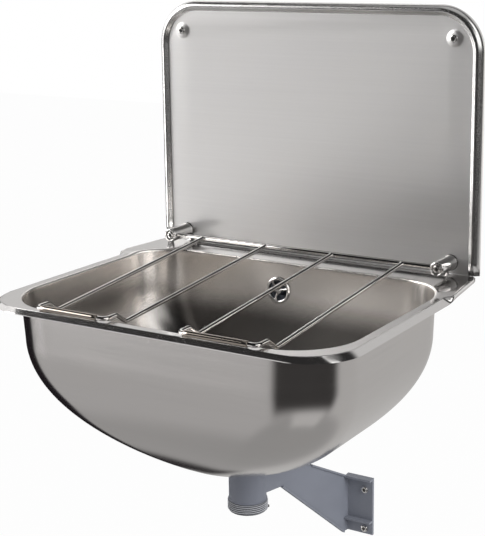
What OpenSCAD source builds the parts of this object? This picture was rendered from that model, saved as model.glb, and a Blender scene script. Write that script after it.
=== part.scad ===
// Wall hung slop sink with a splashback, a fold-up bucket grating, an overflow and a waste bracket.
// Millimetres, +Z up, the wall is the plane y = 0 and the sink stands out of it towards -Y.
// The origin is the centre of the four screws that hold the sink to the wall.
// Heights below are counted from the top of the bowl's rim, and the modules shift them to the origin.

/* [Splashback] */
// Width of the splashback over its edges
panel_w = 440; // [380:1:520]
// Height of the splashback's top above the rim
panel_top = 312; // [260:1:400]
// Height of the splashback's two lower corners above the rim
panel_foot = 3.4; // [2:0.1:6]
// Radius of the splashback's top corners
panel_r = 54; // [25:1:90]
// Distance from the wall to the crest of the raised edge
bead_depth = 11; // [9:0.5:16]
// Distance from the wall to the front of the sunken field
field_depth = 6; // [4:0.5:7]
// Width of the raised edge, crest and slope together
bead_w = 12; // [9:0.5:20]
// Diameter of the raised dimple round each upper screw
dimple_d = 21; // [16:0.5:28]
// Height of each dimple above the field
dimple_h = 1.6; // [0.8:0.1:3]
// Thickness of the steel sheet
sheet_t = 1; // [0.8:0.1:1.5]

/* [Rim] */
// How far the side rim's crease lies inside the splashback's edge
crease_in = 2.2; // [-4:0.1:10]
// Distance from the wall to the crease of the front rim
crease_front = 362.5; // [320:0.5:420]
// Radius of the crease at the front corners
crease_r = 54; // [30:1:80]
// Width of the flat rim at each side
side_rim = 5.8; // [4:0.1:14]
// Distance from the wall to the front of the mouth
mouth_front = 354; // [310:0.5:410]
// Distance from the wall to the rear of the mouth
mouth_rear = 49.5; // [46:0.5:60]
// Corner radius of the mouth at the front
mouth_front_r = 73; // [50:1:90]
// Corner radius of the mouth at the rear
mouth_rear_r = 58; // [40:1:80]
// Height of the lip's curve from the rim down into the bowl
lip_h = 5; // [3:0.5:9]
// How far the side apron stands out from its crease
apron_side_out = 9.6; // [3:0.1:14]
// How far the front apron stands out from its crease
apron_front_out = 1; // [0.5:0.1:6]
// Height of the turned-down apron at the sides
apron_h = 5.4; // [4:0.1:10]
// Height of the turned-down apron at the front
apron_front_h = 6.9; // [4:0.1:10]
// Rise of the rear ledge above the rest of the rim
ledge_rise = 2.6; // [1.5:0.1:3.2]
// How far the ledge flares out beyond the side crease
ledge_flare = 9.2; // [2:0.1:12]
// Distance from the wall to where the flare starts
flare_start = 107.5; // [95:0.5:120]
// Length of the flare along the side
flare_len = 20; // [12:0.5:30]
// How much narrower the ledge is at the wall than at its flare
ledge_taper = 10.3; // [4:0.1:14]
// Radius of the cove between the ledge and the splashback
cove_r = 8; // [4:0.5:10]

/* [Bowl] */
// Depth of the bowl below the rim, inside
bowl_depth = 210; // [170:1:260]
// Depth at which the steep walls begin to turn in
wall_depth = 45; // [40:1:70]
// Width of the lip's curve at the sides
side_inset = 5; // [3:0.5:8]
// Width of the lip's curve at the front and rear
end_inset = 3.5; // [2:0.5:6]
// Inward lean of the steep walls over their depth
wall_lean = 1.5; // [0:0.1:4]
// Exponent of the side walls' curve, 2 is an ellipse
side_curve = 1.25; // [1.1:0.05:2.5]
// Exponent of the front and rear walls' curve
end_curve = 1.8; // [1.2:0.05:2.6]
// How late the plan corners grow round towards the bottom
corner_growth = 1.8; // [0.8:0.1:3]
// Radius of the flat round the waste hole
flat_r = 30; // [29.5:0.5:45]
// Distance from the wall to the waste hole's axis
outlet_y = 161; // [140:1:200]
// Diameter of the waste hole in the bowl
waste_hole_d = 46; // [40:0.5:48]

/* [Wall screws and hinge bosses] */
// Distance from the splashback's side edge in to the wall screws and the bosses
screw_in = 34.5; // [32:0.5:50]
// Height of the hinge bosses' axis above the rim
boss_z = 16.3; // [14:0.1:24]
// Height of the upper wall screws above the rim
upper_screw_z = 274.6; // [220:0.1:280]
// Diameter of a hinge boss
boss_d = 17; // [15:0.5:22]
// Distance from the wall to the boss's front face
boss_front = 46.2; // [42:0.1:60]
// Depth of the counterbore in the boss's face
counterbore_h = 3.4; // [2:0.1:4]
// Diameter of that counterbore
counterbore_d = 12; // [10.5:0.1:13]
// Thickness of the seal between boss and splashback
seal_t = 1; // [0.5:0.1:2]
// Width of the seal's edge that shows round the boss
seal_margin = 1; // [0.5:0.1:2]
// Diameter of the wall screws' shanks
wall_screw_d = 6; // [5:0.5:6.5]
// How much thinner the plain neck of a wall screw is than its thread
screw_neck = 0.4; // [0.2:0.1:1]
// Length of each wall screw inside the wall
wall_screw_reach = 40; // [25:1:70]
// Diameter of the wall screws' heads
wall_screw_head_d = 9.5; // [9:0.1:10]
// Height of the wall screws' heads
wall_screw_head_h = 2.8; // [2:0.1:3.4]

/* [Grating] */
// Diameter of the grating's rods
rod_d = 5; // [4:0.1:6]
// Distance between the rods that run front to back
rod_pitch = 92.7; // [70:0.1:110]
// Distance from the boss's face back to the rear rod's axis
rod_setback = 7; // [6:0.1:10]
// Depth of the blind bore that holds each end of the rear rod
rod_bore_h = 4.6; // [3:0.1:4.9]
// Distance from the wall to the rods' low front bend
bend_y = 325; // [280:1:335]
// Depth of that low bend's axis below the rim
bend_drop = 7.2; // [3:0.1:15]
// Distance from the wall to the front bars' axis
bar_y = 359.5; // [345:0.5:370]
// Distance from the wall to where a rod has risen to its bar's height
rise_y = 341; // [335:0.5:348]
// Bending radius of the wires
wire_bend_r = 6.5; // [4:0.5:9]
// Outer diameter of the rim sleeves
sleeve_d = 7; // [6.4:0.1:9]
// Bare length of each bar at its right end
sleeve_gap = 4; // [2:0.5:12]

/* [Overflow] */
// Distance of the overflow to the left of the middle
overflow_x = 19.5; // [0:0.5:40]
// Depth of the overflow's axis below the rim
overflow_z = 33; // [28:0.5:38]
// Diameter of the rosette
rosette_d = 33; // [28:0.5:38]
// Diameter of the rosette's opening
rosette_bore_d = 24.5; // [18:0.5:26]
// How far the rosette stands out of the bowl's wall
rosette_h = 3.2; // [2:0.1:5]
// Width of the rosette's three spokes
spoke_w = 2.6; // [2:0.1:4]
// Direction of the first spoke from the right, in degrees
spoke_turn = 130; // [90:1:150]
// Diameter of the rosette's hub
hub_d = 9; // [8:0.5:11]
// Diameter of the overflow screw
overflow_screw_d = 4; // [3:0.5:5]
// Outer diameter of the overflow's housing
housing_d = 31; // [30:0.5:40]
// Distance from the wall to the back of that housing
housing_back = 18; // [12:1:24]
// Diameter of the overflow pipe
pipe_d = 16; // [12:0.5:18]
// Wall of the overflow pipe
pipe_wall = 1.6; // [1:0.1:2.5]

/* [Waste outlet and bracket] */
// Outer diameter of the outlet tube
tube_d = 44.5; // [42:0.1:46]
// Bore of the outlet tube
tube_bore_d = 38; // [34:0.5:40]
// Depth of the outlet's lower end below the rim, for a 60 mm tall outlet
outlet_drop = 62.5; // [55:0.5:80]
// Diameter over the outlet's thread
thread_d = 47.8; // [46.5:0.1:50]
// Length of the outlet's thread
thread_h = 14; // [10:0.5:20]
// Outer diameter of the outlet's seat under the bowl
seat_d = 58; // [54:0.5:59]
// Thickness of that seat
seat_h = 5; // [3:0.5:8]
// Thickness of the soft gaskets
gasket_t = 2; // [1:0.1:3]
// Distance from the sink's middle to the wall plate's outer edge
plate_x = 86; // [75:0.5:110]
// Depth of the wall plate's top below the rim
plate_top = 275; // [270:1:300]
// Height of the wall plate
plate_h = 76; // [70:1:100]
// Thickness of the wall plate
plate_t = 4; // [3:0.5:8]
// Distance from the sink's middle to the arm where it meets the plate
arm_foot_x = 52.8; // [40:0.1:62]
// Thickness of the arm
arm_t = 3.5; // [2.5:0.5:5]
// Width of the flanges along the arm's edges
arm_flange = 2.5; // [1.5:0.5:4]
// Depth of the ribs on the wall plate
rib_out = 8; // [4:0.5:14]
// Distance from the sink's middle to the bracket's screws
plate_screw_x = 75; // [67:0.5:80]
// Distance between its upper and lower screws
plate_screw_z = 52.5; // [45:0.5:56]
// Diameter of the bracket screws' shanks
plate_screw_d = 5; // [4:0.5:6]
// Diameter of the bracket screws' heads
plate_head_d = 9.4; // [8:0.1:11]
// Length of each bracket screw inside the wall
plate_screw_reach = 18; // [12:1:60]
// Direction of the small locking screw round the outlet, in degrees
lock_turn = 32; // [10:1:60]
// Diameter of that locking screw
lock_d = 3; // [2:0.5:4]
// Height of its axis above the outlet's lower end
lock_z = 2.6; // [2.6:0.1:8]

/* [Strainer] */
// Diameter of the strainer plate
strainer_d = 54; // [50:0.5:58]
// Thickness of the strainer plate
strainer_t = 1.2; // [0.8:0.1:2]
// Diameter of the strainer's round holes
strainer_hole_d = 6; // [4:0.5:7]
// Number of holes in the strainer's ring
strainer_holes = 8; // [6:1:9]
// Diameter of the strainer screw
strainer_screw_d = 6; // [5:0.5:6]
// Length of the strainer screw below the plate
strainer_screw_h = 26; // [18:1:30]

/* [Fits] */
// Gap all round between the rear rod and its bores
rod_play = 0.08; // [0.05:0.01:0.1]
// Gap all round between a screw and its hole
screw_play = 0.25; // [0.1:0.05:0.4]
// Gap between pieces that lie against each other
seat_play = 0.05; // [0:0.01:0.2]
// Gap between the rosette and the bowl's wall
rosette_rest = 0.2; // [0.15:0.05:0.4]
// Gap between the sleeves and the rim below them
sleeve_rest = 0.3; // [0.2:0.05:0.5]

/* [Hidden] */
fine = 64;

// Height of the origin above the rim, half way between the screw rows
origin_z = (boss_z + upper_screw_z) / 2;
// Half widths and spans that follow the splashback's width
screw_span = panel_w - 2 * screw_in;
crease_x = panel_w / 2 - crease_in;
mouth_x = crease_x - side_rim;

// Colours
STEEL = [0.66, 0.65, 0.63];
BRIGHT = [0.80, 0.80, 0.79];
PLASTIC = [0.44, 0.47, 0.51];
RUBBER = [0.12, 0.12, 0.12];
SLEEVE = [0.70, 0.68, 0.64];

module at_origin() {
  translate([0, 0, -origin_z]) children();
}

// A cylinder along Y whose front end is at y and which runs back by len
module along_y(x, y, z, d, len) {
  translate([x, y, z]) rotate([-90, 0, 0]) cylinder(d = d, h = len, $fn = fine);
}

// A cylinder between two points
module rod_between(p, q, d) {
  v = q - p;
  len = norm(v);
  translate(p) rotate([0, acos(v[2] / len), atan2(v[1], v[0])]) cylinder(d = d, h = len, $fn = 32);
}

// Splashback

panel_edge = panel_w / 2;
panel_inner_r = panel_r - bead_w;
// Top of the basin's upturned rear edge, where the splashback is welded to it
upstand_z = ledge_rise + cove_r;
// Half width of the notch in the splashback that the upturned edge fills
upstand_x = screw_span / 2 + boss_d / 2 + 10;

// The raised edge's section: distance in from the panel's edge, distance out from the wall
bead_section = [
  [0, 0], [0, bead_depth - 2], [0.6, bead_depth - 0.6], [2, bead_depth],
  [bead_w * 0.58, bead_depth], [bead_w * 0.7, bead_depth - 0.6],
  [bead_w - 1.4, field_depth + 0.5], [bead_w, field_depth], [bead_w + 1, field_depth],
  [bead_w + 1, field_depth - sheet_t], [bead_w - 0.6, field_depth - sheet_t],
  [bead_w - 2.2, field_depth - sheet_t + 0.5], [bead_w * 0.6, bead_depth - sheet_t - 0.4],
  [bead_w * 0.5, bead_depth - sheet_t], [2.2, bead_depth - sheet_t],
  [sheet_t, bead_depth - sheet_t - 1.2], [sheet_t, 0]
];

// Straight stretch of the raised edge on the right, from height low to height high
module side_bead(low, high) {
  translate([0, 0, low]) linear_extrude(high - low)
    polygon([for (p = bead_section) [panel_edge - p[0], -p[1]]]);
}

// Quarter of the raised edge round the top right corner
module corner_bead() {
  translate([panel_edge - panel_r, 0, panel_top - panel_r]) rotate([90, 0, 0])
    rotate_extrude(angle = 90, $fn = 96) polygon([for (p = bead_section) [panel_r - p[0], p[1]]]);
}

module top_bead() {
  half = panel_edge - panel_r;
  translate([-half, 0, 0]) rotate([90, 0, 90]) linear_extrude(2 * half)
    polygon([for (p = bead_section) [-p[1], panel_top - p[0]]]);
}

// The sunken field's outline, seen from the front
module field_outline() {
  w = panel_edge - bead_w;
  translate([-w, panel_foot]) square([2 * w, panel_top - panel_r - panel_foot]);
  translate([-(panel_edge - panel_r), panel_foot])
    square([2 * (panel_edge - panel_r), panel_top - bead_w - panel_foot]);
  for (side = [-1, 1])
    translate([side * (panel_edge - panel_r), panel_top - panel_r]) circle(r = panel_inner_r, $fn = 96);
}

// A flat dimple with a sloped edge, pressed forward round a screw
module dimple(x) {
  translate([x, -field_depth + sheet_t, upper_screw_z]) rotate([90, 0, 0])
    rotate_extrude($fn = fine) polygon([
      [0, 0], [dimple_d / 2, 0], [dimple_d / 2, sheet_t], [dimple_d / 2 - 3, sheet_t + dimple_h],
      [0, sheet_t + dimple_h]
    ]);
}

// The hollow behind a dimple
module dimple_back(x) {
  translate([x, -field_depth + sheet_t + 1, upper_screw_z]) rotate([90, 0, 0])
    rotate_extrude($fn = fine) polygon([
      [0, 0], [dimple_d / 2 - 1, 0], [dimple_d / 2 - 1, 1], [dimple_d / 2 - 3.6, 1 + dimple_h],
      [0, 1 + dimple_h]
    ]);
}

module splashback() {
  color(STEEL) at_origin() difference() {
    union() {
      for (side = [0, 1]) mirror([side, 0, 0]) {
        side_bead(panel_foot, panel_top - panel_r);
        corner_bead();
      }
      top_bead();
      translate([0, -field_depth + sheet_t, 0]) rotate([90, 0, 0]) linear_extrude(sheet_t)
        field_outline();
      for (side = [-1, 1]) dimple(side * screw_span / 2);
    }
    for (side = [-1, 1]) {
      dimple_back(side * screw_span / 2);
      along_y(side * screw_span / 2, -30, upper_screw_z, wall_screw_d + 2 * screw_play, 40);
      along_y(side * screw_span / 2, -30, boss_z, wall_screw_d + 2 * screw_play, 40);
    }
    translate([-upstand_x, -30, 0]) cube([2 * upstand_x, 40, upstand_z]);
  }
}

// Basin: closed rings of points, all with the same count, from the waste hole up the inside,
// over the rim, round its edge and back down the outside

arc_n = 10;
side_n = 8;
rear_n = 12;
front_n = 8;
bowl_n = 13;
lip_n = 3;

function mix(a, b, f) = a + (b - a) * f;
function clamp01(f) = min(max(f, 0), 1);
function smooth(f) = let (c = clamp01(f)) c * c * (3 - 2 * c);
// Rise of the rim at distance y (negative) from the wall
function rise(y) = ledge_rise * smooth((y + flare_start) / (flare_len + 6));

// One quarter of a ring's right half: side, rear corner, and the mirrored points after it
function straight(p, q, n) = [for (k = [1 : n]) mix(p, q, k / (n + 1))];
function arc(cx, cy, r, from, to) =
  [for (k = [0 : arc_n]) let (a = mix(from, to, k / arc_n)) [cx + r * cos(a), cy + r * sin(a)]];

// Rounded rectangle: half width, front and rear distance, front and rear corner radius
function ring(x, front, rear, rf, rr) = concat(
  arc(x - rf, -front + rf, rf, -90, 0),
  straight([x, -front + rf], [x, -rear - rr], side_n),
  arc(x - rr, -rear - rr, rr, 0, 90),
  straight([x - rr, -rear], [-x + rr, -rear], rear_n),
  arc(-x + rr, -rear - rr, rr, 90, 180),
  straight([-x, -rear - rr], [-x, -front + rf], side_n),
  arc(-x + rf, -front + rf, rf, 180, 270),
  straight([-x + rf, -front], [x - rf, -front], front_n)
);

// The steep wall and the bottom curve, step j of bowl_n, with g added all round for the outside
wall_x = mouth_x - side_inset;
wall_front = mouth_front - end_inset;
wall_rear = mouth_rear + end_inset;
function bowl_ring(j, g) =
  let (
    a = 90 * j / bowl_n,
    kx = pow(cos(a), 2 / side_curve),
    ky = pow(cos(a), 2 / end_curve),
    x = mix(flat_r, wall_x - wall_lean, kx),
    front = mix(outlet_y + flat_r, wall_front - wall_lean, ky),
    rear = mix(outlet_y - flat_r, wall_rear, ky),
    full = min(x, (front - rear) / 2),
    grow = pow(1 - kx, corner_growth),
    z = -mix(wall_depth, bowl_depth, sin(a))
  )
  lift(ring(x + g, front + g, rear - g, min(mix(mouth_front_r, full, grow), full) + g,
    min(mix(mouth_rear_r, full, grow), full) + g), z - g * sin(a));

function lift(points, z) = [for (p = points) [p[0], p[1], z]];

// The lip's curve, step j of lip_n, with g as the sheet's thickness for the underside
function lip_ring(j, g) =
  let (
    a = 90 * j / lip_n,
    out_x = side_inset - (side_inset - g) * cos(a),
    out_y = end_inset - (end_inset - g) * cos(a),
    drop = g + (lip_h - g) * (1 - sin(a))
  )
  [for (p = ring(wall_x + out_x, wall_front + out_y, wall_rear - out_y, mouth_front_r, mouth_rear_r))
    [p[0], p[1], rise(p[1]) - drop]];

// Half width of the rim's outer edge at distance y (negative) from the wall
function ledge_x(y) = crease_x + ledge_flare * smooth((y + flare_start) / flare_len)
  - ledge_taper * clamp01((y + flare_start - flare_len) / (flare_start - flare_len));

// The crease's right rear stretch: along the flared side, round the ledge's corner, on to the upstand
ledge_back = bead_depth + 1.2;
ledge_ys = concat(
  [for (k = [0 : 3]) -flare_start + flare_len * k / 3],
  [for (k = [1 : 4]) mix(-flare_start + flare_len, -ledge_back - 6, k / 4)]
);
ledge_end = ledge_x(-ledge_back - 6);
ledge_corner = concat(
  [for (y = ledge_ys) [ledge_x(y), y]],
  [[ledge_end - 2, -ledge_back - 1.5], [ledge_end - 7, -ledge_back], [upstand_x - 4, -ledge_back - 1]]
);
function flip(points) = [for (k = [len(points) - 1 : -1 : 0]) [-points[k][0], points[k][1]]];
crease_ring = concat(
  arc(crease_x - crease_r, -crease_front + crease_r, crease_r, -90, 0),
  straight([crease_x, -crease_front + crease_r], [crease_x, -flare_start], side_n),
  ledge_corner,
  straight([upstand_x - 4, -ledge_back - 1], [-upstand_x + 4, -ledge_back - 1], rear_n),
  flip(ledge_corner),
  straight([-crease_x, -flare_start], [-crease_x, -crease_front + crease_r], side_n),
  arc(-crease_x + crease_r, -crease_front + crease_r, crease_r, 180, 270),
  straight([-crease_x + crease_r, -crease_front], [crease_x - crease_r, -crease_front], front_n)
);

// Outward direction of the edge at a crease point
function edge_out(p) =
  p[1] > -flare_start ? [sign(p[0]), 0] :
  abs(p[0]) >= crease_x - 0.01 ? [sign(p[0]), 0] :
  let (cx = crease_x - crease_r, cy = -crease_front + crease_r, dx = max(abs(p[0]) - cx, 0))
  [sign(p[0]) * dx, p[1] - cy] / norm([dx, p[1] - cy]);
// 1 where the edge turns up against the splashback, 0 where it turns down
function upward(p) =
  p[1] < -ledge_back - 4 ? 0 : clamp01((ledge_end - 2 - abs(p[0])) / (ledge_end + 2 - upstand_x));
// How far the apron stands out, and how far it drops, at a crease point
function apron_out(p) = let (n = edge_out(p))
  mix(mix(apron_front_out, apron_side_out, n[0] * n[0]), 1.2, smooth((p[1] + flare_start) / flare_len));
function apron_down(p) = let (n = edge_out(p))
  mix(mix(apron_front_h, apron_h, n[0] * n[0]), 4.4, smooth((p[1] + flare_start) / flare_len));

edge_steps = [0.3, 0.65, 1];
// A point on the turned edge: share f of the way to its end, with g as the sheet's thickness
function edge_point(p, f, g) =
  let (
    n = edge_out(p),
    w = upward(p),
    top = rise(p[1]),
    bulge = sin(180 * f) * 0.8,
    down = [
      p[0] + n[0] * (apron_out(p) * f + bulge * 0.5 - g),
      p[1] + n[1] * (apron_out(p) * f + bulge * 0.5 - g),
      top - apron_down(p) * f + bulge * 0.5 - g * (1 - f)
    ],
    a = 90 * f,
    reach = -field_depth - p[1],
    up = [p[0], p[1] + reach * sin(a) + g * sin(a), top + cove_r * (1 - cos(a)) - g * cos(a)],
    thin = [0, 0, -g * 2 * w * (1 - w) * f]
  )
  mix(down, up, w) + thin;

function crease_under(p, g) = [p[0], p[1], rise(p[1]) - g];

basin_rings = concat(
  [lift(ring(waste_hole_d / 2, outlet_y + waste_hole_d / 2, outlet_y - waste_hole_d / 2,
    waste_hole_d / 2, waste_hole_d / 2), -bowl_depth)],
  [for (j = [bowl_n : -1 : 0]) bowl_ring(j, 0)],
  [for (j = [0 : lip_n]) lip_ring(j, 0)],
  [lift(crease_ring, 0) + [for (p = crease_ring) [0, 0, rise(p[1])]]],
  [for (f = edge_steps) [for (p = crease_ring) edge_point(p, f, 0)]],
  [for (k = [len(edge_steps) - 1 : -1 : 0]) [for (p = crease_ring) edge_point(p, edge_steps[k], sheet_t)]],
  [[for (p = crease_ring) crease_under(p, sheet_t)]],
  [for (j = [lip_n : -1 : 0]) lip_ring(j, sheet_t)],
  [for (j = [0 : bowl_n]) bowl_ring(j, sheet_t)],
  [lift(ring(waste_hole_d / 2, outlet_y + waste_hole_d / 2, outlet_y - waste_hole_d / 2,
    waste_hole_d / 2, waste_hole_d / 2), -bowl_depth - sheet_t)]
);

// A closed tube of rings: each ring is joined to the next, and the last to the first
module ring_shell(rings) {
  n = len(rings[0]);
  m = len(rings);
  polyhedron(
    points = [for (r = rings) each r],
    faces = [for (j = [0 : m - 1], k = [0 : n - 1])
      let (
        a = j * n + k,
        b = j * n + (k + 1) % n,
        c = ((j + 1) % m) * n + k,
        d = ((j + 1) % m) * n + (k + 1) % n
      )
      each [[a, b, d], [a, d, c]]]
  );
}

overflow_hole_d = rosette_bore_d + 1.5;
module basin() {
  color(STEEL) at_origin() difference() {
    ring_shell(basin_rings);
    along_y(-overflow_x, -wall_rear - 12, -overflow_z, overflow_hole_d, 24);
  }
}

// Hinge bosses, their seals and the wall screws

boss_x = screw_span / 2;
boss_len = boss_front - field_depth - seal_t - seat_play;
rod_y = boss_front - rod_setback;
hole_d = wall_screw_d + 2 * screw_play;

module boss(side) {
  color(BRIGHT) at_origin() difference() {
    along_y(side * boss_x, -boss_front, boss_z, boss_d, boss_len);
    along_y(side * boss_x, -boss_front - 1, boss_z, counterbore_d, counterbore_h + 1);
    along_y(side * boss_x, -boss_front - 1, boss_z, hole_d, boss_front);
    // blind bore for the rear rod, in the side that faces the middle
    translate([side * (boss_x - boss_d / 2 - 1), -rod_y, boss_z]) rotate([0, side * 90, 0])
      cylinder(d = rod_d + 2 * rod_play, h = rod_bore_h + 1, $fn = fine);
  }
}
module boss_left() {
  boss(-1);
}
module boss_right() {
  boss(1);
}

// The cove that turns the ledge up, seen from the side, which the seals' lower edges are cut to
cove_reach = ledge_back + 1 - field_depth;
cove_side = concat(
  [for (f = concat([0], edge_steps))
    [-ledge_back - 1 + cove_reach * sin(90 * f) - seat_play,
      ledge_rise + cove_r * (1 - cos(90 * f)) + seat_play]],
  [[0, upstand_z + seat_play], [0, 0]]
);
module boss_seal(side) {
  w = boss_d + 2 * seal_margin;
  color(RUBBER) at_origin() difference() {
    along_y(side * boss_x, -field_depth - seal_t, boss_z, w, seal_t - seat_play);
    along_y(side * boss_x, -field_depth - seal_t - 1, boss_z, hole_d, seal_t + 2);
    translate([side * boss_x - w, 0, 0]) rotate([90, 0, 90]) linear_extrude(2 * w) polygon(cove_side);
  }
}
module boss_seal_left() {
  boss_seal(-1);
}
module boss_seal_right() {
  boss_seal(1);
}

// A wall screw whose head's front is at y: low head with a hexagon socket, a plain neck as far as the
// wall, and from there its thread, as a cylinder over the crests
module wall_screw(x, y, z, shank_d, head_d, head_h, reach) {
  difference() {
    union() {
      along_y(x, y + 0.6, z, head_d, head_h - 0.6);
      translate([x, y + 0.6, z]) rotate([90, 0, 0])
        cylinder(d1 = head_d, d2 = head_d - 2, h = 0.6, $fn = fine);
      along_y(x, y + head_h, z, shank_d - screw_neck, -y - head_h + 1);
      along_y(x, 0, z, shank_d, reach);
    }
    translate([x, y - 1, z]) rotate([-90, 0, 0]) cylinder(d = head_d * 0.45, h = head_h * 0.6 + 1, $fn = 6);
  }
}
boss_head_y = -boss_front + counterbore_h - wall_screw_head_h - seat_play;
module boss_screw(side) {
  color(BRIGHT) at_origin()
    wall_screw(side * boss_x, boss_head_y, boss_z, wall_screw_d, wall_screw_head_d, wall_screw_head_h,
      wall_screw_reach);
}
module boss_screw_left() {
  boss_screw(-1);
}
module boss_screw_right() {
  boss_screw(1);
}
upper_head_y = -field_depth - dimple_h - seat_play - wall_screw_head_h;
module upper_screw(side) {
  color(BRIGHT) at_origin()
    wall_screw(side * boss_x, upper_head_y, upper_screw_z, wall_screw_d, wall_screw_head_d, wall_screw_head_h,
      wall_screw_reach);
}
module upper_screw_left() {
  upper_screw(-1);
}
module upper_screw_right() {
  upper_screw(1);
}

// Grating: a rear rod that turns in the bosses, and two bent wires butted against it

bar_z = sleeve_d / 2 + sleeve_rest;
rod_end_x = boss_x - boss_d / 2 + rod_bore_h - 0.5;

module rear_rod() {
  color(BRIGHT) at_origin() translate([-rod_end_x, -rod_y, boss_z]) rotate([0, 90, 0])
    cylinder(d = rod_d, h = 2 * rod_end_x, $fn = fine);
}

// Direction from p to q
function heading(p, q) = (q - p) / norm(q - p);
function unit(v) = v / norm(v);

// Points along a path whose inner corners are bent at radius r, with bend_n steps to a bend
bend_n = 6;
function bend_points(a, b, c, r) =
  let (
    u = heading(a, b),
    v = heading(b, c),
    angle = acos(u * v),
    cut = r * tan(angle / 2),
    inward = unit(v - u * (u * v))
  )
  [for (k = [0 : bend_n]) let (t = angle * k / bend_n)
    b - u * cut + u * r * sin(t) + inward * r * (1 - cos(t))];
function bent_path(corners, r) =
  let (last = len(corners) - 1)
  concat(
    [corners[0]],
    [for (k = [1 : last - 1]) each bend_points(corners[k - 1], corners[k], corners[k + 1], r)],
    [corners[last]]
  );

// A round wire along a path, none of whose stretches stands upright
wire_sides = 16;
module wire(path, d) {
  last = len(path) - 1;
  rings = [for (k = [0 : last])
    let (
      along = unit((k == 0 ? [0, 0, 0] : heading(path[k - 1], path[k]))
        + (k == last ? [0, 0, 0] : heading(path[k], path[k + 1]))),
      across = unit(cross(along, [0, 0, 1])),
      up = cross(across, along)
    )
    for (j = [0 : wire_sides - 1]) let (t = 360 * j / wire_sides)
      path[k] + (across * cos(t) + up * sin(t)) * d / 2
  ];
  n = wire_sides;
  polyhedron(
    points = rings,
    faces = concat(
      [[for (j = [n - 1 : -1 : 0]) j]],
      [for (k = [0 : last - 1], j = [0 : n - 1])
        let (a = k * n + j, b = k * n + (j + 1) % n)
        each [[a, b, b + n], [a, b + n, a + n]]],
      [[for (j = [0 : n - 1]) last * n + j]]
    )
  );
}

// One bent wire: from the rear rod's axis down to the low bend, up over the lip, across as the
// front bar, and back the same way at x + rod_pitch
rod_side = [
  [-rod_y, boss_z], [-bend_y, -bend_drop], [-rise_y, bar_z], [-bar_y, bar_z]
];
module grate_wire(x) {
  corners = concat(
    [for (p = rod_side) [x, p[0], p[1]]],
    [for (k = [len(rod_side) - 1 : -1 : 0]) [x + rod_pitch, rod_side[k][0], rod_side[k][1]]]
  );
  color(BRIGHT) at_origin() difference() {
    wire(bent_path(corners, wire_bend_r), rod_d);
    // the rods' ends are coped to the rear rod
    translate([x - rod_d, -rod_y, boss_z]) rotate([0, 90, 0])
      cylinder(d = rod_d, h = rod_pitch + 2 * rod_d, $fn = fine);
  }
}
module grate_wire_left() {
  grate_wire(-1.5 * rod_pitch);
}
module grate_wire_right() {
  grate_wire(0.5 * rod_pitch);
}

// A soft sleeve on the straight part of a front bar
module rim_sleeve(x) {
  from = x + wire_bend_r + 0.5;
  to = x + rod_pitch - wire_bend_r - sleeve_gap;
  color(SLEEVE) at_origin() difference() {
    translate([from, -bar_y, bar_z]) rotate([0, 90, 0]) cylinder(d = sleeve_d, h = to - from, $fn = fine);
    translate([from - 1, -bar_y, bar_z]) rotate([0, 90, 0])
      cylinder(d = rod_d + 2 * seat_play, h = to - from + 2, $fn = fine);
  }
}
module rim_sleeve_left() {
  rim_sleeve(-1.5 * rod_pitch);
}
module rim_sleeve_right() {
  rim_sleeve(0.5 * rod_pitch);
}

// Overflow: a rosette in the bowl, a housing behind the wall, and a pipe down to the outlet

module overflow_rosette() {
  color(BRIGHT) at_origin()
    translate([-overflow_x, -wall_rear - rosette_rest, -overflow_z]) rotate([90, 0, 0]) {
    rotate_extrude($fn = fine) polygon([
      [rosette_bore_d / 2, 0], [rosette_d / 2, 0], [rosette_d / 2, rosette_h * 0.4],
      [rosette_d / 2 - 0.8, rosette_h * 0.85], [rosette_d / 2 - 2, rosette_h],
      [rosette_bore_d / 2 + 1, rosette_h * 0.9], [rosette_bore_d / 2, rosette_h * 0.5]
    ]);
    difference() {
      union() {
        cylinder(d = hub_d, h = rosette_h * 0.6, $fn = fine);
        for (k = [0 : 2]) rotate([0, 0, spoke_turn + 120 * k]) translate([0, -spoke_w / 2, 0])
          cube([rosette_bore_d / 2 + 0.5, spoke_w, rosette_h * 0.5]);
      }
      translate([0, 0, -1]) cylinder(d = overflow_screw_d + 2 * screw_play, h = rosette_h + 2, $fn = 32);
    }
  }
}

overflow_head_y = wall_rear + rosette_rest + rosette_h * 0.6 + seat_play;
module overflow_screw() {
  color(BRIGHT) at_origin() translate([-overflow_x, -overflow_head_y, -overflow_z]) rotate([90, 0, 0])
    difference() {
    union() {
      cylinder(d = hub_d - 2, h = 1.8, $fn = 32);
      translate([0, 0, 1.2 - overflow_head_y + housing_back + 2.5])
        cylinder(d = overflow_screw_d, h = overflow_head_y - housing_back - 2.5, $fn = 32);
    }
    translate([-hub_d, -0.5, 0.9]) cube([2 * hub_d, 1, 2]);
  }
}

// Back of the bowl's wall, where the gasket and the housing are clamped
wall_back = wall_rear - sheet_t;
module overflow_gasket() {
  color(RUBBER) at_origin() difference() {
    along_y(-overflow_x, -wall_back + seat_play, -overflow_z, housing_d + 6, gasket_t - 2 * seat_play);
    along_y(-overflow_x, -wall_back - 1, -overflow_z, overflow_hole_d, gasket_t + 2);
  }
}

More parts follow.
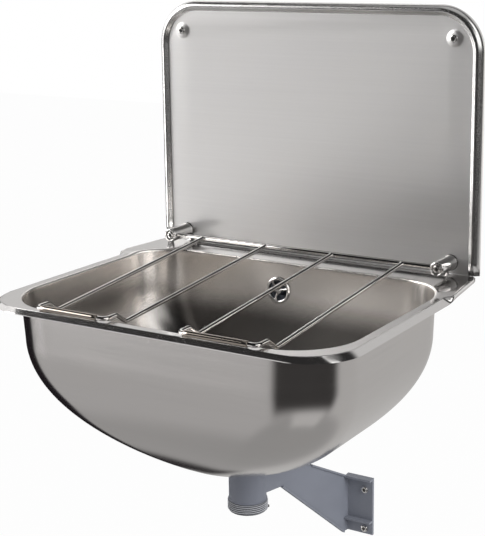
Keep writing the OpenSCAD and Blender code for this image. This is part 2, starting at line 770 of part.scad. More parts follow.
pipe_y = (wall_back - gasket_t + housing_back) / 2;
pipe_drop = overflow_z + housing_d / 2 + 6;
module overflow_housing() {
  front = wall_back - gasket_t;
  color(PLASTIC) at_origin() difference() {
    union() {
      along_y(-overflow_x, -front, -overflow_z, housing_d + 6, 3);
      along_y(-overflow_x, -front, -overflow_z, housing_d, front - housing_back);
      translate([-overflow_x, -pipe_y, -pipe_drop])
        cylinder(d = pipe_d + 4, h = pipe_drop - overflow_z, $fn = fine);
    }
    difference() {
      along_y(-overflow_x, -front - 1, -overflow_z, housing_d - 5, front - housing_back - 1.5);
      along_y(-overflow_x, -front - 2, -overflow_z, hub_d, front + 4);
    }
    along_y(-overflow_x, -front - 1, -overflow_z, overflow_screw_d + 2 * screw_play,
      front + 1 - housing_back - 2);
    translate([-overflow_x, -pipe_y, -pipe_drop - 1])
      cylinder(d = pipe_d + 2 * seat_play, h = 11, $fn = fine);
    translate([-overflow_x, -pipe_y, -pipe_drop])
      cylinder(d = pipe_d - 2 * pipe_wall, h = pipe_drop - overflow_z, $fn = fine);
  }
}

// The pipe's route: down behind the bowl, then forward under it into the outlet tube
pipe_low = bowl_depth + sheet_t + gasket_t + seat_h + pipe_d / 2 + 4;
tube_back = outlet_y - tube_d / 2;
pipe_route = [
  [-overflow_x, -pipe_y, -pipe_drop + 9.5],
  [-overflow_x, -pipe_y, -pipe_low + 18],
  [0, -pipe_y - 22, -pipe_low],
  [0, -tube_back + 5, -pipe_low]
];
module pipe_run(d) {
  for (k = [0 : 2]) rod_between(pipe_route[k], pipe_route[k + 1], d);
  for (k = [1 : 2]) translate(pipe_route[k]) sphere(d = d, $fn = 32);
}
module overflow_pipe() {
  color(PLASTIC) at_origin() difference() {
    pipe_run(pipe_d);
    pipe_run(pipe_d - 2 * pipe_wall);
  }
}

module pipe_seal() {
  color(RUBBER) at_origin() difference() {
    along_y(0, -tube_back + 2.6, -pipe_low, pipe_d + 5, 2);
    along_y(0, -tube_back, -pipe_low, pipe_d + 2 * seat_play, 8);
  }
}

// Waste: the strainer on the bowl's flat, its screw, and the gasket under the bowl

module strainer() {
  color(BRIGHT) at_origin() translate([0, -outlet_y, -bowl_depth + 0.8 + seat_play]) difference() {
    union() {
      cylinder(d = strainer_d, h = strainer_t, $fn = fine);
      translate([0, 0, strainer_t]) cylinder(d1 = 14, d2 = 11, h = 1, $fn = 32);
    }
    for (k = [0 : strainer_holes - 1]) rotate([0, 0, 360 * k / strainer_holes])
      translate([waste_hole_d / 2 - strainer_hole_d / 2 - 4, 0, -1])
        cylinder(d = strainer_hole_d, h = 5, $fn = 32);
    translate([0, 0, -1]) cylinder(d = strainer_screw_d + 2 * screw_play, h = 6, $fn = 32);
  }
}

module strainer_gasket() {
  color(RUBBER) at_origin() translate([0, -outlet_y, -bowl_depth + seat_play]) difference() {
    cylinder(d = strainer_d - 1, h = 0.8 - seat_play, $fn = fine);
    translate([0, 0, -1]) cylinder(d = waste_hole_d + 1, h = 3, $fn = fine);
  }
}

module strainer_screw() {
  top = -bowl_depth + 0.8 + strainer_t + 1 + 2 * seat_play;
  color(BRIGHT) at_origin() translate([0, -outlet_y, top]) difference() {
    union() {
      cylinder(d1 = strainer_screw_d + 4, d2 = strainer_screw_d + 2, h = 2, $fn = 32);
      translate([0, 0, -strainer_screw_h])
        cylinder(d = strainer_screw_d, h = strainer_screw_h + 0.5, $fn = 32);
    }
    translate([-strainer_screw_d, -0.6, 1]) cube([2 * strainer_screw_d, 1.2, 2]);
  }
}

under_bowl = bowl_depth + sheet_t;
module outlet_gasket() {
  color(RUBBER) at_origin() translate([0, -outlet_y, -under_bowl - gasket_t + seat_play]) difference() {
    cylinder(d = seat_d, h = gasket_t - 2 * seat_play, $fn = fine);
    translate([0, 0, -1]) cylinder(d = waste_hole_d + 1, h = gasket_t + 2, $fn = fine);
  }
}

// Bracket: outlet tube, the arm that leaves it tangentially, and the wall plate, in one moulding

seat_top = under_bowl + gasket_t;
outlet_end = bowl_depth + outlet_drop;
arm_reach = sqrt(pow(arm_foot_x, 2) + pow(outlet_y - plate_t, 2) - pow(tube_d / 2, 2));
arm_angle = atan2(arm_foot_x, outlet_y - plate_t)
  - asin(tube_d / 2 / norm([arm_foot_x, outlet_y - plate_t]));
arm_start = [tube_d / 2 * cos(arm_angle), -outlet_y + tube_d / 2 * sin(arm_angle)];

// The arm's side view: distance from the tube's tangent, height below the rim
arm_top_mid = [arm_reach * 0.51, -seat_top - 28.5];
arm_low_mid = [arm_reach * 0.18, -seat_top - 38.5];
arm_outline = [
  [0, -seat_top - 12], arm_top_mid, [arm_reach, -plate_top - 8.5],
  [arm_reach, -plate_top - plate_h], [arm_reach - 17, -plate_top - plate_h], arm_low_mid,
  [0, -seat_top - 37.5]
];

// Places its children in the arm's plane: x along the arm, y up
module in_arm_plane() {
  translate([arm_start[0], arm_start[1], 0]) rotate([0, 0, 90 - arm_angle]) rotate([90, 0, 0]) children();
}

// A strip along one edge of the arm, from p to q, standing out on its outer face
module edge_flange(p, q) {
  u = heading(p, q);
  n = [-u[1], u[0]] * arm_flange / 2;
  in_arm_plane() translate([0, 0, -arm_flange + 0.5]) linear_extrude(arm_flange + 0.5)
    polygon([p - n, q - n, q + n, p + n]);
}

module arm() {
  in_arm_plane() translate([0, 0, -arm_t]) linear_extrude(arm_t) polygon(arm_outline);
}

module plate_rib(z) {
  translate([arm_foot_x - 3, -plate_t - rib_out, z - 3]) cube([plate_x - arm_foot_x + 3, rib_out + 0.5, 3]);
}

plate_screw_mid = plate_top + plate_h / 2 + 4.6;
module bracket() {
  color(PLASTIC) at_origin() difference() {
    union() {
      translate([0, -outlet_y, -outlet_end + 1])
        cylinder(d = tube_d, h = outlet_end - 1 - seat_top, $fn = fine);
      translate([0, -outlet_y, -outlet_end]) cylinder(d = thread_d, h = thread_h, $fn = fine);
      translate([0, -outlet_y, -seat_top - seat_h]) cylinder(d = seat_d, h = seat_h, $fn = fine);
      arm();
      edge_flange(arm_outline[1], arm_outline[2]);
      edge_flange(arm_outline[5], arm_outline[4]);
      plate_rib(-plate_top);
      plate_rib(-plate_top - plate_h * 0.74);
      translate([arm_foot_x - 3, -plate_t, -plate_top - plate_h])
        cube([plate_x - arm_foot_x + 3, plate_t, plate_h]);
      // spigot that takes the overflow pipe
      along_y(0, -outlet_y + 10, -pipe_low, pipe_d + 5, tube_d / 2 - 8);
    }
    difference() {
      translate([0, -outlet_y, -outlet_end - 1]) cylinder(d = tube_bore_d, h = 100, $fn = fine);
      // the bar across the bore that the strainer screw bites into
      translate([-tube_bore_d, -outlet_y - 5, -seat_top - 18]) cube([2 * tube_bore_d, 10, 14]);
    }
    translate([0, -outlet_y, -seat_top - 30])
      cylinder(d = strainer_screw_d + 2 * seat_play, h = 40, $fn = 32);
    along_y(0, -tube_back, -pipe_low, pipe_d + 2 * seat_play, 10);
    along_y(0, -outlet_y + 8, -pipe_low, pipe_d - 2 * pipe_wall, tube_d / 2);
    at_lock() cylinder(d = lock_d + 2 * seat_play, h = thread_d, $fn = 32);
    for (sz = [-1, 1])
      along_y(plate_screw_x, -20, -plate_screw_mid + sz * plate_screw_z / 2,
        plate_screw_d + 2 * screw_play, 30);
  }
}

// Small screw set flush in the tube's wall, so that a trap's nut can pass it
module at_lock() {
  translate([0, -outlet_y, -outlet_end + lock_z]) rotate([0, 0, lock_turn]) rotate([0, 90, 0]) children();
}
module locking_screw() {
  color(RUBBER) at_origin() at_lock() translate([0, 0, tube_bore_d / 2 + 0.5])
    cylinder(d = lock_d, h = (thread_d - tube_bore_d) / 2 - 1, $fn = 32);
}

module bracket_screws() {
  color(BRIGHT) at_origin() for (sz = [-1, 1])
    wall_screw(plate_screw_x, -plate_t - 2.6 - seat_play, -plate_screw_mid + sz * plate_screw_z / 2,
      plate_screw_d, plate_head_d, 2.6, plate_screw_reach);
}

splashback();
basin();
boss_left();
boss_right();
boss_seal_left();
boss_seal_right();
boss_screw_left();
boss_screw_right();
upper_screw_left();
upper_screw_right();
rear_rod();
grate_wire_left();
grate_wire_right();
rim_sleeve_left();
rim_sleeve_right();
overflow_rosette();
overflow_screw();
overflow_gasket();
overflow_housing();
overflow_pipe();
pipe_seal();
strainer();
strainer_screw();
strainer_gasket();
outlet_gasket();
bracket();
locking_screw();
bracket_screws();
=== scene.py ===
"""Wall hung slop sink: the visual model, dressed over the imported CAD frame.

Sizes are millimetres counted from the top of the bowl's rim and from the wall, and each mesh is made
in metres about the frame's origin, the middle of the four wall screws.
"""

import logging
import math
from dataclasses import dataclass
from enum import Enum
from typing import Any, Callable, Sequence, Union

import bmesh
import bpy
from mathutils import Matrix, Vector


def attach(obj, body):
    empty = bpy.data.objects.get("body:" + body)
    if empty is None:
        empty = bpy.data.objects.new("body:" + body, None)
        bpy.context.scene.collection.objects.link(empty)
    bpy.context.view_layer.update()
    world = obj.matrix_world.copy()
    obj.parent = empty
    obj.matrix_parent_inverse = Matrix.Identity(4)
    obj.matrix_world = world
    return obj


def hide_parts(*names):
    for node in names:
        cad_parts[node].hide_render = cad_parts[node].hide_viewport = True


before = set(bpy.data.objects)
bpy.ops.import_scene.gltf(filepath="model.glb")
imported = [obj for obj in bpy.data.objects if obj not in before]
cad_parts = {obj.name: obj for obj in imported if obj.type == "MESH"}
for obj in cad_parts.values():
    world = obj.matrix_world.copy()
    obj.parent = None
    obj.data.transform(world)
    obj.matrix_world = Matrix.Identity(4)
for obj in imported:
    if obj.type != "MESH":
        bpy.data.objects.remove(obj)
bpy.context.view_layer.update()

Point = tuple[float, float, float]
Flat = tuple[float, float]
Colour = tuple[float, float, float]
Radius = Union[float, Callable[[float], float]]
Row = Sequence[Sequence[float]]

ORIGIN_Z = 145.45
WELD = 1e-6
BEVEL_STEPS = 3
BEVEL_FROM = 32.0
CUT_SHARP = 40.0
BLACK = (0.0, 0.0, 0.0)
WHITE = (1.0, 1.0, 1.0)
SIDES = ((-1, "left"), (1, "right"))
ALONG_X, OUTWARD, BACKWARD = (1, 0, 0), (0, -1, 0), (0, 1, 0)
UPWARD, DOWNWARD = (0, 0, 1), (0, 0, -1)
log = logging.getLogger("slop_sink")


def metres(point: Sequence[float]) -> Vector:
    """Turns a point in rim millimetres into the frame's metres."""
    return Vector((point[0] / 1000, point[1] / 1000, (point[2] - ORIGIN_Z) / 1000))


def mix(a: float, b: float, share: float) -> float:
    """Gives the value a share of the way from a to b."""
    return a + (b - a) * share


def clamp01(value: float) -> float:
    """Keeps a value between 0 and 1."""
    return min(max(value, 0.0), 1.0)


def smooth(value: float) -> float:
    """Eases a value from 0 to 1."""
    eased = clamp01(value)
    return eased * eased * (3 - 2 * eased)


def turns(count: int) -> list[float]:
    """Gives the angles of one full turn in that many steps."""
    return [2 * math.pi * k / count for k in range(count)]


def circle(x: float, y: float, z: float, r: float, count: int) -> list[Point]:
    """Gives that many points of a circle that faces the wall."""
    return [(x + r * math.cos(a), y, z + r * math.sin(a)) for a in turns(count)]


def ridge(distance: float, angle: float, pitch: float) -> float:
    """Gives 1 on a thread's crest and 0 at its root, at a distance along it and an angle round it."""
    return 1 - abs(2 * ((distance / pitch - angle / (2 * math.pi)) % 1.0) - 1)


def hexagon(half_width: float) -> Callable[[float], float]:
    """Gives the radius of a hexagon of that half width over its flats, at each angle."""
    return lambda angle: half_width / math.cos((angle % (math.pi / 3)) - math.pi / 6)


def resample(points: Row, count: int) -> list[Sequence[float]]:
    """Spreads points evenly along an open line.

    Args:
        points: the line's points.
        count: how many points to give, both ends among them.

    Returns:
        The points, evenly spaced by length.
    """
    lengths = [0.0]
    for a, b in zip(points, points[1:]):
        lengths.append(lengths[-1] + math.dist(a, b))
    spread = []
    at = 0
    for k in range(count):
        want = lengths[-1] * k / (count - 1)
        while at < len(points) - 2 and lengths[at + 1] < want:
            at += 1
        share = (want - lengths[at]) / max(lengths[at + 1] - lengths[at], 1e-9)
        spread.append(tuple(mix(a, b, share) for a, b in zip(points[at], points[at + 1])))
    return spread


def bend(corners: Sequence[Vector], radius: float, steps: int, cut: float = math.inf) -> list[Vector]:
    """Rounds a path's inner corners.

    Args:
        corners: the path's corners, its two ends among them.
        radius: the bends' radius.
        steps: how many steps each bend takes.
        cut: the greatest length that a bend may take off each side of its corner.

    Returns:
        The points of the bends, without the path's ends.
    """
    points = []
    for a, b, c in zip(corners, corners[1:], corners[2:]):
        u, v = (b - a).normalized(), (c - b).normalized()
        angle = math.acos(max(min(u.dot(v), 1.0), -1.0))
        r = min(radius, cut / math.tan(angle / 2))
        off = r * math.tan(angle / 2)
        inward = (v - u * u.dot(v)).normalized()
        for t in (angle * k / steps for k in range(steps + 1)):
            points.append(b - u * off + u * r * math.sin(t) + inward * r * (1 - math.cos(t)))
    return points


class Tag(Enum):
    """Which of a mesh's materials a face takes."""

    FIRST = 0
    SECOND = 1
    THIRD = 2


class Shell:
    """Points and faces of one mesh in rim millimetres, on the way to a Blender object."""

    def __init__(self) -> None:
        """Starts with no points and no faces."""
        self.points: list[Sequence[float]] = []
        self.faces: list[tuple[Sequence[int], int]] = []

    def ring(self, points: Row) -> list[int]:
        """Adds a row of points.

        Args:
            points: the row's points.

        Returns:
            The points' numbers.
        """
        start = len(self.points)
        self.points.extend(points)
        return list(range(start, len(self.points)))

    def bridge(self, a: Sequence[int], b: Sequence[int], tag: Tag, closed: bool = True) -> None:
        """Joins two rows of as many points with four-sided faces.

        Args:
            a: the numbers of the first row.
            b: the numbers of the second row.
            tag: the faces' tag.
            closed: whether the rows' ends are joined too.
        """
        for k in range(len(a) if closed else len(a) - 1):
            j = (k + 1) % len(a)
            self.faces.append(((a[k], a[j], b[j], b[k]), tag.value))

    def cap(self, row: Sequence[int], tag: Tag) -> None:
        """Closes a row with one face."""
        self.faces.append((tuple(row), tag.value))

    def loft(
        self, rows: Sequence[Row], around: bool = False, caps: bool = True, tags: Sequence[Tag] | None = None
    ) -> list[list[int]]:
        """Joins rows of points one to the next.

        Args:
            rows: the rows, with the same count of points in each.
            around: whether the last row is joined to the first.
            caps: whether the first and last rows are closed.
            tags: the tag of each band of faces.

        Returns:
            The point numbers of each row.
        """
        numbers = [self.ring(row) for row in rows]
        bands = tags or [Tag.FIRST] * len(rows)
        for k in range(len(rows) if around else len(rows) - 1):
            self.bridge(numbers[k], numbers[(k + 1) % len(rows)], bands[k])
        if caps and not around:
            self.cap(numbers[0], bands[0])
            self.cap(numbers[-1], bands[-1])
        return numbers

    def box(self, x: Flat, y: Flat, z: Flat) -> None:
        """Adds a box between two values along each axis."""
        self.loft([[(a, y[0], z[0]), (a, y[1], z[0]), (a, y[1], z[1]), (a, y[0], z[1])] for a in x])

    def fill(self, loops: Sequence[Sequence[int]]) -> None:
        """Fills the flat space between an outer row and the rows of its holes.

        Args:
            loops: the numbers of the outer row, then those of each hole.
        """
        mesh = bmesh.new()
        made = {number: mesh.verts.new(self.points[number]) for loop in loops for number in loop}
        edges = []
        for loop in loops:
            for a, b in zip(loop, list(loop[1:]) + [loop[0]]):
                edges.append(mesh.edges.new((made[a], made[b])))
        found = {vert: number for number, vert in made.items()}
        result = bmesh.ops.triangle_fill(mesh, use_beauty=True, use_dissolve=False, edges=edges)
        for item in result["geom"]:
            if isinstance(item, bmesh.types.BMFace):
                self.faces.append((tuple(found[v] for v in item.verts), Tag.FIRST.value))
        mesh.free()

    def turn(
        self, profile: Sequence[tuple[Radius, float]], centre: Point, axis: Point, steps: int,
        caps: bool = True, around: bool = False, tags: Sequence[Tag] | None = None,
    ) -> list[list[int]]:
        """Turns a profile round an axis.

        Args:
            profile: pairs of a radius, or of a function from angle to radius, and a distance along the axis.
            centre: where the axis starts.
            axis: the axis's direction.
            steps: how many points go round.
            caps: whether the ends are closed.
            around: whether the last row is joined to the first.
            tags: the tag of each band of faces.

        Returns:
            The point numbers of each row.
        """
        along = Vector(axis).normalized()
        straight = max(abs(along.y), abs(along.z)) > 0.9
        across = Vector(ALONG_X) if straight else along.orthogonal().normalized()
        side = along.cross(across)
        rows = []
        for radius, distance in profile:
            row = []
            for angle in turns(steps):
                reach = radius(angle) if callable(radius) else radius
                spoke = (across * math.cos(angle) + side * math.sin(angle)) * max(reach, 1e-4)
                row.append(tuple(Vector(centre) + along * distance + spoke))
            rows.append(row)
        return self.loft(rows, around, caps, tags)

    def sweep(self, points: Sequence[Vector], radius: Radius, sides: int) -> None:
        """Runs a round tube along a path.

        Args:
            points: the points of the tube's middle.
            radius: the tube's radius, or a function from the share of the way to the radius.
            sides: how many points go round.
        """
        rows = []
        normal = None
        for k, point in enumerate(points):
            before, after = points[max(k - 1, 0)], points[min(k + 1, len(points) - 1)]
            along = ((point - before).normalized() + (after - point).normalized()).normalized()
            if normal is None:
                normal = along.orthogonal().normalized()
            normal = (normal - along * normal.dot(along)).normalized()
            side = along.cross(normal)
            reach = radius(k / (len(points) - 1)) if callable(radius) else radius
            spokes = [normal * math.cos(a) + side * math.sin(a) for a in turns(sides)]
            rows.append([tuple(point + spoke * reach) for spoke in spokes])
        self.loft(rows)

    def screw_thread(
        self, centre: Point, axis: Point, radii: Flat, pitch: float, length: float, steps: int,
        tip: float = 0.0,
    ) -> None:
        """Runs one screw thread round a core.

        Args:
            centre: where the thread starts.
            axis: the direction that it runs in.
            radii: the radius at the thread's root and at its crest.
            pitch: the distance between turns.
            length: the thread's length.
            steps: how many points go round.
            tip: the length over which the end narrows to a point, or 0.
        """
        core, crest = radii
        rows = max(int(length / pitch * 8), 8)
        profile = []
        for k in range(rows + 1):
            distance = length * k / rows
            fade = smooth(distance / pitch) * (1.0 if tip else smooth((length - distance) / (pitch * 0.5)))
            narrow = 1.0 if not tip else clamp01((length - distance) / tip) ** 0.7

            def reach(angle: float, d: float = distance, f: float = fade, n: float = narrow) -> float:
                """Gives the thread's radius at an angle."""
                return (core + (crest - core) * clamp01(ridge(d, angle, pitch) * 1.7 - 0.25) * f) * n

            profile.append((reach, distance))
        self.turn(profile, centre, axis, steps)

    def make(self, name: str, finishes: Sequence["Finish"], sharp: float) -> bpy.types.Object:
        """Makes the Blender object.

        Args:
            name: the piece's name.
            finishes: its finishes, in the order of the tags.
            sharp: the angle in degrees above which an edge stays sharp.

        Returns:
            The linked object.
        """
        mesh = bpy.data.meshes.new(name)
        mesh.from_pydata([metres(p) for p in self.points], [], [f for f, _ in self.faces])
        for finish in finishes:
            mesh.materials.append(finish.material())
        for polygon, (_, tag) in zip(mesh.polygons, self.faces):
            polygon.material_index = tag
        edit = bmesh.new()
        edit.from_mesh(mesh)
        bmesh.ops.remove_doubles(edit, verts=edit.verts, dist=WELD)
        bmesh.ops.recalc_face_normals(edit, faces=edit.faces)
        edit.to_mesh(mesh)
        edit.free()
        mesh.polygons.foreach_set("use_smooth", [True] * len(mesh.polygons))
        mesh.set_sharp_from_angle(angle=math.radians(sharp))
        mesh.update()
        piece = bpy.data.objects.new(name, mesh)
        bpy.context.scene.collection.objects.link(piece)
        return piece


def soften(piece: bpy.types.Object, width: float) -> None:
    """Rounds a piece's sharp edges.

    Args:
        piece: the object.
        width: the bevel's width in millimetres.
    """
    bevel = piece.modifiers.new("edge", "BEVEL")
    bevel.width = width / 1000
    bevel.segments = BEVEL_STEPS
    bevel.limit_method = "ANGLE"
    bevel.angle_limit = math.radians(BEVEL_FROM)
    bevel.harden_normals = True
    bevel.use_clamp_overlap = True


def carve(piece: bpy.types.Object, tool: bpy.types.Object) -> None:
    """Cuts a tool's shape out of a piece, and deletes the tool.

    Args:
        piece: the object.
        tool: the shape to cut out.
    """
    cut = piece.modifiers.new("cut", "BOOLEAN")
    cut.object = tool
    cut.operation = "DIFFERENCE"
    cut.solver = "EXACT"
    bpy.context.view_layer.update()
    shape = piece.evaluated_get(bpy.context.evaluated_depsgraph_get())
    mesh = bpy.data.meshes.new_from_object(shape)
    piece.modifiers.remove(cut)
    mesh.set_sharp_from_angle(angle=math.radians(CUT_SHARP))
    piece.data = mesh
    bpy.data.objects.remove(tool)


def fit(piece: bpy.types.Object, node: str = "", body: str = "sink") -> None:
    """Makes a piece ride on a body and stand for a CAD node, and reports it.

    Args:
        piece: the object.
        node: the CAD node that it replaces, if any.
        body: the CAD body that it moves with.
    """
    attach(piece, body)
    if node:
        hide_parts(node)
    log.info("%s rides on %s and stands for %s", piece.name, body, node or "no node")


class Value:
    """One output socket of a shader node, on which Python's operators add Math nodes."""

    def __init__(self, graph: "Graph", socket: bpy.types.NodeSocket) -> None:
        """Wraps a socket of a graph."""
        self.graph = graph
        self.socket = socket

    def __add__(self, other: "Value | float") -> "Value":
        """Adds."""
        return self.graph.math("ADD", self, other)

    __radd__ = __add__

    def __mul__(self, other: "Value | float") -> "Value":
        """Multiplies."""
        return self.graph.math("MULTIPLY", self, other)

    __rmul__ = __mul__

    def __sub__(self, other: "Value | float") -> "Value":
        """Subtracts."""
        return self.graph.math("SUBTRACT", self, other)

    def __rsub__(self, other: "Value | float") -> "Value":
        """Subtracts from a number."""
        return self.graph.math("SUBTRACT", other, self)

    def between(self, low: float, high: float, soft: float) -> "Value":
        """Gives 1 between two bounds and 0 outside, with soft edges."""
        return self.step(low, soft) * (1 - self.step(high, soft))

    def step(self, edge: float, soft: float) -> "Value":
        """Rises from 0 to 1 about an edge.

        Args:
            edge: the value at the middle of the rise.
            soft: half of the rise's width.

        Returns:
            The mask.
        """
        ends = {"Value": self, "From Min": edge - soft, "From Max": edge + soft}
        node = self.graph.add("ShaderNodeMapRange", ends, interpolation_type="SMOOTHSTEP")
        return self.graph.out(node, "Result")


Feed = Union[Value, float, Sequence[float]]


class Graph:
    """A material's or a world's nodes."""

    def __init__(self, owner: bpy.types.Material | bpy.types.World) -> None:
        """Empties the owner's node tree.

        Args:
            owner: the material or world.
        """
        owner.use_nodes = True
        self.tree = owner.node_tree
        self.tree.nodes.clear()

    def add(self, kind: str, feeds: dict[str, Feed] | None = None, **settings: Any) -> bpy.types.Node:
        """Adds a node of any kind.

        Args:
            kind: the node's type.
            feeds: the value or link of each input, by its name or identifier.
            settings: the node's settings, which are set first.

        Returns:
            The node.
        """
        node = self.tree.nodes.new(kind)
        for key, value in settings.items():
            setattr(node, key, value)
        for key, value in (feeds or {}).items():
            socket = next(s for s in node.inputs if key in (s.identifier, s.name) and s.enabled)
            if isinstance(value, Value):
                self.tree.links.new(value.socket, socket)
            elif isinstance(value, (int, float)):
                socket.default_value = value
            else:
                wide = len(socket.default_value)
                socket.default_value = tuple(value) + (1.0,) * (wide - len(value))
        return node

    def out(self, node: bpy.types.Node, name: str) -> Value:
        """Wraps one output of a node."""
        return Value(self, next(s for s in node.outputs if name in (s.identifier, s.name) and s.enabled))

    def math(self, operation: str, *terms: "Value | float") -> Value:
        """Adds a Math node."""
        keys = ("Value", "Value_001")
        return self.out(self.add("ShaderNodeMath", dict(zip(keys, terms)), operation=operation), "Value")

    def place(self) -> Value:
        """Gives the place on the piece, in the frame's metres."""
        return self.out(self.add("ShaderNodeTexCoord"), "Object")

    def axes(self, vector: Value) -> list[Value]:
        """Gives a vector's three parts."""
        parts = self.add("ShaderNodeSeparateXYZ", {"Vector": vector})
        return [self.out(parts, axis) for axis in "XYZ"]

    def noise(self, place: Value, scale: Point, detail: float = 2.0, rough: float = 0.5) -> Value:
        """Adds noise about 0.5.

        Args:
            place: the place on the piece.
            scale: how many grains a metre holds along each axis.
            detail: how many finer layers it has.
            rough: how strong the finer layers are.

        Returns:
            The noise.
        """
        ends = {"Vector": place, "Vector_001": scale}
        spread = self.out(self.add("ShaderNodeVectorMath", ends, operation="MULTIPLY"), "Vector")
        ends = {"Vector": spread, "Scale": 1.0, "Detail": detail, "Roughness": rough}
        return self.out(self.add("ShaderNodeTexNoise", ends), "Fac")

    def blend(self, share: "Value | float", a: Feed, b: Feed) -> Value:
        """Mixes two colours."""
        ends = {"Factor_Float": share, "A_Color": a, "B_Color": b}
        return self.out(self.add("ShaderNodeMix", ends, data_type="RGBA"), "Result_Color")

    def bump(self, height: Value, strength: float, depth: float) -> Value:
        """Turns a height into a normal, with the depth in metres."""
        ends = {"Height": height, "Strength": strength, "Distance": depth}
        return self.out(self.add("ShaderNodeBump", ends), "Normal")

    def surface(self, feeds: dict[str, Feed]) -> None:
        """Adds the principled shader and the output."""
        shader = self.add("ShaderNodeBsdfPrincipled", feeds)
        self.add("ShaderNodeOutputMaterial", {"Surface": self.out(shader, "BSDF")})


def toned(tone: Colour, by: float) -> Colour:
    """Makes a tone lighter or darker, and keeps it under full white."""
    return tuple(min(c * by, 0.95) for c in tone)


class Finish:
    """One finish of the sink, which is made into a material once."""

    name: str

    def nodes(self, graph: Graph) -> None:
        """Builds the finish's nodes.

        Args:
            graph: the material's nodes.
        """
        raise NotImplementedError

    def material(self) -> bpy.types.Material:
        """Gives the finish's material, made once.

        Returns:
            The material.
        """
        known = bpy.data.materials.get(self.name)
        if known is None:
            known = bpy.data.materials.new(self.name)
            self.nodes(Graph(known))
        return known


@dataclass(frozen=True)
class SatinSheet(Finish):
    """Stainless sheet with a ground grain, whose lines lie across the largest of its scales.

    A sheet with deep under 1 has painted shade low at the bowl's rear: its colour is darkened there to stand
    for the dark room that the steel mirrors.
    """

    name: str
    tone: Colour
    grain: Point
    rough: float
    grain_rough: float
    grain_tone: float
    depth: float
    anisotropy: float
    wave: float = 0.0
    turn: float = 0.25
    # deep is the share of the colour kept in the painted shade low at the bowl's rear; deep_z and deep_y say
    # where that shade starts in height and in distance from the wall
    deep: float = 1.0
    deep_z: Flat = (-0.2, 0.022)
    deep_y: Flat = (-0.085, 0.025)

    def nodes(self, graph: Graph) -> None:
        """Builds the sheet's colour, ground lines, smears, slight waves and painted shade.

        Args:
            graph: the material's nodes.
        """
        place = graph.place()
        fine = graph.noise(place, self.grain, 3.0, 0.6)
        lines = graph.noise(place, tuple(s * 0.32 for s in self.grain))
        smears = graph.noise(place, (9.0, 9.0, 13.0), 4.0, 0.62)
        grain = fine * 0.6 + lines * 0.4
        dark, light = toned(self.tone, 1 - self.grain_tone), toned(self.tone, 1 + self.grain_tone)
        base = graph.blend(grain, dark, light)
        warm = tuple(c * w for c, w in zip(self.tone, (1.0, 0.97, 0.93)))
        stains_and_painted_shade = graph.blend((smears - 0.5) * 0.5, base, warm)
        # painted shade: the colour is darkened towards black low at the bowl's rear, standing for the dark
        # room mirrored there
        if self.deep < 1.0:
            _, y, z = graph.axes(place)
            shaded = (1 - z.step(*self.deep_z)) * y.step(*self.deep_y)
            stains_and_painted_shade = graph.blend(shaded * (1 - self.deep), stains_and_painted_shade, BLACK)
        height = grain * 0.35
        if self.wave:
            height = height + graph.noise(place, (14.0, 14.0, 11.0), 1.0, 0.4) * (self.wave / self.depth)
        graph.surface(
            {
                "Base Color": stains_and_painted_shade,
                "Metallic": 1.0,
                "Roughness": (grain - 0.5) * (2 * self.grain_rough) + (smears - 0.5) * 0.08 + self.rough,
                "Anisotropic": self.anisotropy,
                "Anisotropic Rotation": self.turn,
                "Normal": graph.bump(height, 1.0, self.depth),
            }
        )


@dataclass(frozen=True)
class BrightSteel(Finish):
    """Turned or drawn stainless steel with fine tool marks and a few dull spots.

    A wire with line under 1 has a painted reflection: a dark line painted into its colour along each upper
    shoulder, standing for the dark room that it mirrors there.
    """

    name: str
    tone: Colour = (0.74, 0.73, 0.72)
    rough: float = 0.14
    marks: Point = (900.0, 900.0, 900.0)
    depth: float = 0.000004
    # share of the colour kept in the painted dark reflection line, and the span of the normal's upward part
    # that the line covers
    line: float = 1.0
    painted_line_span: Point = (0.46, 0.88, 0.06)

    def nodes(self, graph: Graph) -> None:
        """Builds the steel's marks, spots and any painted dark reflection line.

        Args:
            graph: the material's nodes.
        """
        place = graph.place()
        marks = graph.noise(place, self.marks, 2.0, 0.6)
        spots = graph.noise(place, (140.0, 140.0, 140.0), 3.0, 0.6)
        base = graph.blend(spots, toned(self.tone, 0.9), toned(self.tone, 1.08))
        # painted reflection: a dark line painted where the normal points partly upward, on each upper
        # shoulder of a lying wire
        if self.line < 1.0:
            normal = graph.out(graph.add("ShaderNodeNewGeometry"), "Normal")
            upward = graph.axes(normal)[2]
            base = graph.blend(upward.between(*self.painted_line_span) * (1 - self.line), base, BLACK)
        graph.surface(
            {
                "Base Color": base,
                "Metallic": 1.0,
                "Roughness": (marks - 0.5) * 0.08 + (spots - 0.5) * 0.06 + self.rough,
                "Normal": graph.bump(marks, 0.6, self.depth),
            }
        )


